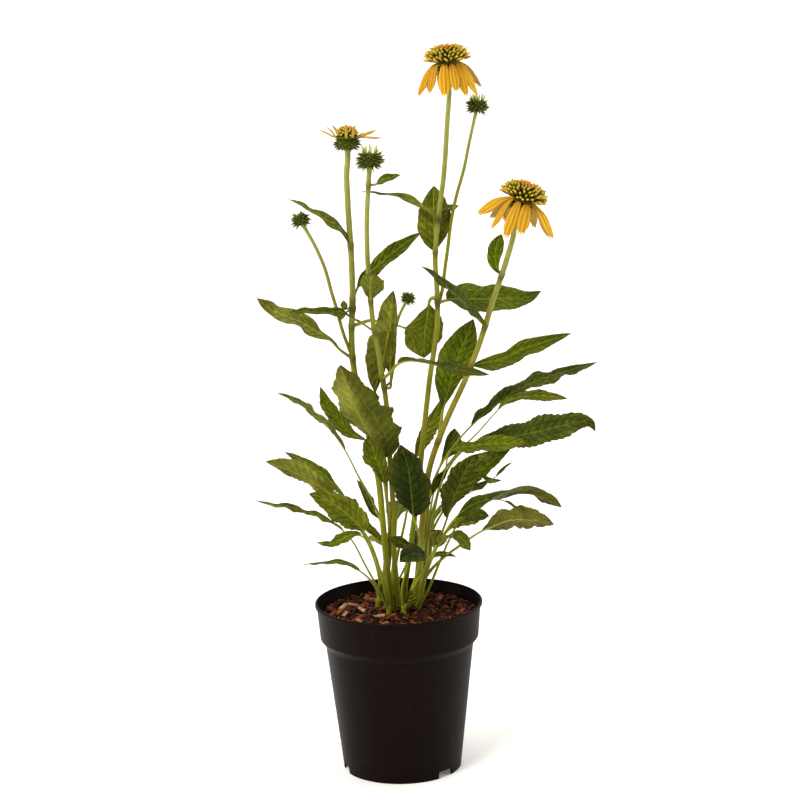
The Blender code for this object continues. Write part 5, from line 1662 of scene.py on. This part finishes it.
def floret_rows(name, head):
    """The cone's florets on a golden-angle spiral: short and warm on top, long at its foot."""
    draw = random.Random(name)
    up, side, front = frame_of(head.axis)
    rows = []
    for i in range(head.florets):
        rise = 1 - (i + 0.5) / head.florets
        out = math.sqrt(1 - rise * rise)
        flat = about(side, front, i * GOLDEN_ANGLE)
        root = (Vector(head.base) + flat * (0.86 * head.cone_radius * out)
                + up * (0.9 * head.cone_height * rise))
        aim = (flat * out + up * (0.85 * rise + 0.18)).normalized()
        length = head.floret_length * (0.42 + 0.72 * out ** 2) * draw.uniform(0.82, 1.12)
        wide = 1.55 + 0.50 * out
        warm = 0.9 * max(0.0, rise - WARM_TOP) / (1 - WARM_TOP)
        warm += 0.35 * max(0.0, WARM_FOOT - rise) / WARM_FOOT
        rows.append((root, aim, (wide, wide, length), warm * draw.uniform(0.6, 1.0)))
    return rows


def bract_rows(centre, axis, radius, height, length, count, top, foot, back, draw):
    """Pointed green bracts round a ball or cup, between two shares of its height. back leans
    them away from its top."""
    up, side, front = frame_of(axis)
    rows = []
    for i in range(count):
        rise = top + (foot - top) * (i + 0.5) / count
        out = math.sqrt(max(0.0, 1 - rise * rise))
        flat = about(side, front, i * GOLDEN_ANGLE)
        root = Vector(centre) + flat * (0.8 * radius * out) + up * (0.8 * height * rise)
        aim = (flat * (out + 0.25) + up * (rise - back)).normalized()
        rows.append((root, aim, (BRACT_WIDTH, BRACT_THICKNESS, length * draw.uniform(0.75, 1.3)),
                     0.0))
    return rows


def young_ray_rows(bud, draw):
    """The pale tips of rays that push out of a bud's top."""
    up, side, front = frame_of(bud.axis)
    rows = []
    for i in range(YOUNG_RAYS):
        flat = about(side, front, 2 * math.pi * (i + draw.uniform(-0.3, 0.3)) / YOUNG_RAYS)
        root = Vector(bud.centre) + flat * (0.68 * bud.radius) + up * (0.55 * bud.radius)
        aim = (up + flat * draw.uniform(0.05, 0.35)).normalized()
        rows.append((root, aim, (1.5, 0.9, 0.9 * bud.radius * draw.uniform(0.8, 1.25)), 0.0))
    return rows


def make_head(name, spikes, finishes):
    """A bloom's florets, its dark core with the cores of its collar and cup, and its rays."""
    head = HEADS[name]
    short = short_name(name)
    florets = grow_spikes("florets_" + short, floret_rows(name, head), spikes,
                          {**FLORET_SPIKES, "Seed": len(name)}, finishes["floret_spikes"])
    core = Skin()
    add_dome(core, head_point(head, 0, 0, -0.6), head.axis, 0.9 * head.cone_radius,
             0.92 * head.cone_height, CONE_CORE)
    add_dome(core, head_point(head, 0, 0, -0.5 * COLLAR_HEIGHT), head.axis, 1.12 * head.collar,
             0.75 * COLLAR_HEIGHT, BUD_CORE, lowest=-POLE)
    add_dome(core, cup_centre(head), head.axis, 0.9 * head.cup_radius, 1.3 * head.cup_height,
             BUD_CORE, lowest=-0.75)
    rays = Skin()
    for number, ray in enumerate(head.rays):
        add_ray(rays, head, ray, number + len(name))
    return (florets, core.finish("cone_core_" + short, finishes["stem"]),
            rays.finish("ray_florets_" + short, finishes["rays"]))


def make_bracts(name, spikes, finishes):
    """All the small green bracts of a stem's head and buds, and the buds' young rays."""
    draw = random.Random(name)
    bracts = []
    young = []
    if name in HEADS:
        head = HEADS[name]
        bracts += bract_rows(cup_centre(head), head.axis, head.cup_radius + 0.3,
                             head.cup_height + 0.5, head.bract_length, CUP_BRACTS,
                             0.85 if head.young else 0.3, -0.75, 0.45, draw)
    for bud in buds_of(name):
        opening = bud.radius > OPENING_BUD
        bracts += bract_rows(bud.centre, bud.axis, bud.radius, bud.radius * 0.9,
                             bud.bract_length, round(BRACTS_PER_RADIUS * bud.radius),
                             0.75 if opening else 0.97, -0.85, 0.10, draw)
        if opening:
            young += young_ray_rows(bud, draw)
    kinds = [("bracts_", bracts, BRACT_SPIKES, "bract_green")]
    if young:
        kinds.append(("young_rays_", young, YOUNG_RAY_SPIKES, "young_ray"))
    return [grow_spikes(kind + short_name(name), rows, spikes, shape, finishes[finish])
            for kind, rows, shape, finish in kinds]


def add_lamp(name, kind, place, aim, power, **settings):
    """A warm lamp that stands at a place and looks at another."""
    lamp = bpy.data.lights.new(name, kind)
    lamp.energy = power
    lamp.color = WARM_LIGHT
    for setting, value in settings.items():
        setattr(lamp, setting, value)
    obj = add_object(name, lamp)
    obj.location = place
    obj.rotation_euler = (Vector(aim) - Vector(place)).to_track_quat("-Z", "Y").to_euler()


def make_lights():
    """Two soft suns and a long light on each side. The suns' place only sets their slant."""
    add_lamp("key", "SUN", (-1.2, -1.7, 2.0), SUN_AIM, 2.1, angle=KEY_SPREAD)
    add_lamp("left side", "AREA", (-1.7, -0.35, 0.5), SIDE_LIGHT_AIM, 16,
             shape="RECTANGLE", size=0.8, size_y=1.4)
    add_lamp("right side", "AREA", (1.7, 0.0, 0.5), SIDE_LIGHT_AIM, 12,
             shape="RECTANGLE", size=0.6, size_y=1.4)
    add_lamp("top", "SUN", (0.2, 0.3, 2.4), SUN_AIM, 1.1, angle=TOP_SPREAD)


def make_sky():
    """A pale world: brighter behind the plant than in front of it, and overhead."""
    world = bpy.data.worlds.new("studio")
    world.use_nodes = True
    mix = Mixer(world.node_tree)
    aim = mix.split(mix.node("ShaderNodeTexCoord").outputs["Generated"])
    back = mix.span(aim[1], -0.5, 0.8, *WORLD_FRONT_BACK)
    overhead = mix.span(aim[2], 0.2, 1.0, 0.0, WORLD_TOP)
    sky = world.node_tree.nodes["Background"]
    sky.inputs["Color"].default_value = SKY
    mix.feed(sky.inputs["Strength"], mix.math("ADD", back, overhead))
    bpy.context.scene.world = world


def make_floor():
    reach = FLOOR_REACH
    mesh = bpy.data.meshes.new("studio_floor")
    mesh.from_pydata([(-reach, -reach, 0), (reach, -reach, 0), (reach, reach, 0),
                      (-reach, reach, 0)], [], [(0, 1, 2, 3)])
    mesh.materials.append(floor_finish())
    add_object("studio_floor", mesh)


def make_camera():
    data = bpy.data.cameras.new("camera")
    data.lens = CAMERA_LENS
    data.sensor_width = SENSOR_WIDTH
    data.clip_end = VIEW_DEPTH
    camera = add_object("camera", data)
    turn = Matrix.Rotation(math.radians(CAMERA_TURN), 4, "Z")
    dip = Matrix.Rotation(math.radians(90 - CAMERA_DIP), 4, "X")
    roll = Matrix.Rotation(math.radians(CAMERA_ROLL), 4, "Z")
    camera.matrix_world = Matrix.Translation(CAMERA_PLACE) @ turn @ dip @ roll
    bpy.context.scene.camera = camera


def keep(piece, slot, *nodes):
    """A finished piece rides with the plant and stands for its nodes. Its slot is not used."""
    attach(piece, "root")
    if nodes:
        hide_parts(*nodes)


def keep_pot_and_bark(bark):
    """The pot, the soil, and the layers of chips on it, which stand for no node."""
    keep(make_pot(pot_finish()), "pot_plastic", "pot")
    keep(make_soil(bark), "bark", "soil")
    chips = chips_tree()
    for name, (settings, bed) in CHIP_LAYERS.items():
        values = dict(zip(CHIP_INPUTS, settings))
        keep(grow(name, chip_bed(name, *bed), chips, values, bark), "bark")


def keep_stem(name, seed, spikes, finishes):
    """A stem with its leaves, bracts and hairs, and its head where it has one."""
    short = short_name(name)
    blades, stalks = make_stem(name, seed)
    keep(stalks.finish("green_stem_" + short, finishes["stem"]), "foliage", name)
    keep(blades.finish("stem_leaves_" + short, finishes["leaf"]), "foliage")
    for piece in make_bracts(name, spikes, finishes):
        keep(piece, "foliage")
    keep(make_hairs(name, spikes, finishes["stem_hairs"]), "foliage")
    if name in HEADS:
        florets, core, rays = make_head(name, spikes, finishes)
        keep(florets, "cone", "cone_" + short)
        keep(core, "cone")
        keep(rays, "rays", "rays_" + short)


def keep_rosette(name, seed, finishes):
    """A crown's leaves, and its stub with their stalks."""
    short = short_name(name)
    blades, stalks = make_rosette(name, seed)
    keep(blades.finish("basal_leaves_" + short, finishes["leaf"]), "basal_foliage", name)
    keep(stalks.finish("basal_stalks_" + short, finishes["stem"]), "basal_foliage")


def make_plant():
    finishes = {"leaf": leaf_finish(), "stem": stem_finish(), "rays": ray_finish()}
    finishes.update({name: spike_finish(name) for name in SPIKE_PAINTS})
    spikes = spikes_tree()
    keep_pot_and_bark(bark_finish())
    for number, name in enumerate(STEMS):
        keep_stem(name, number + 1, spikes, finishes)
    for number, name in enumerate(CROWNS):
        keep_rosette(name, number + ROSETTE_SEED, finishes)


bpy.context.scene.view_settings.view_transform = "Standard"
make_camera()
make_floor()
make_sky()
make_lights()
make_plant()
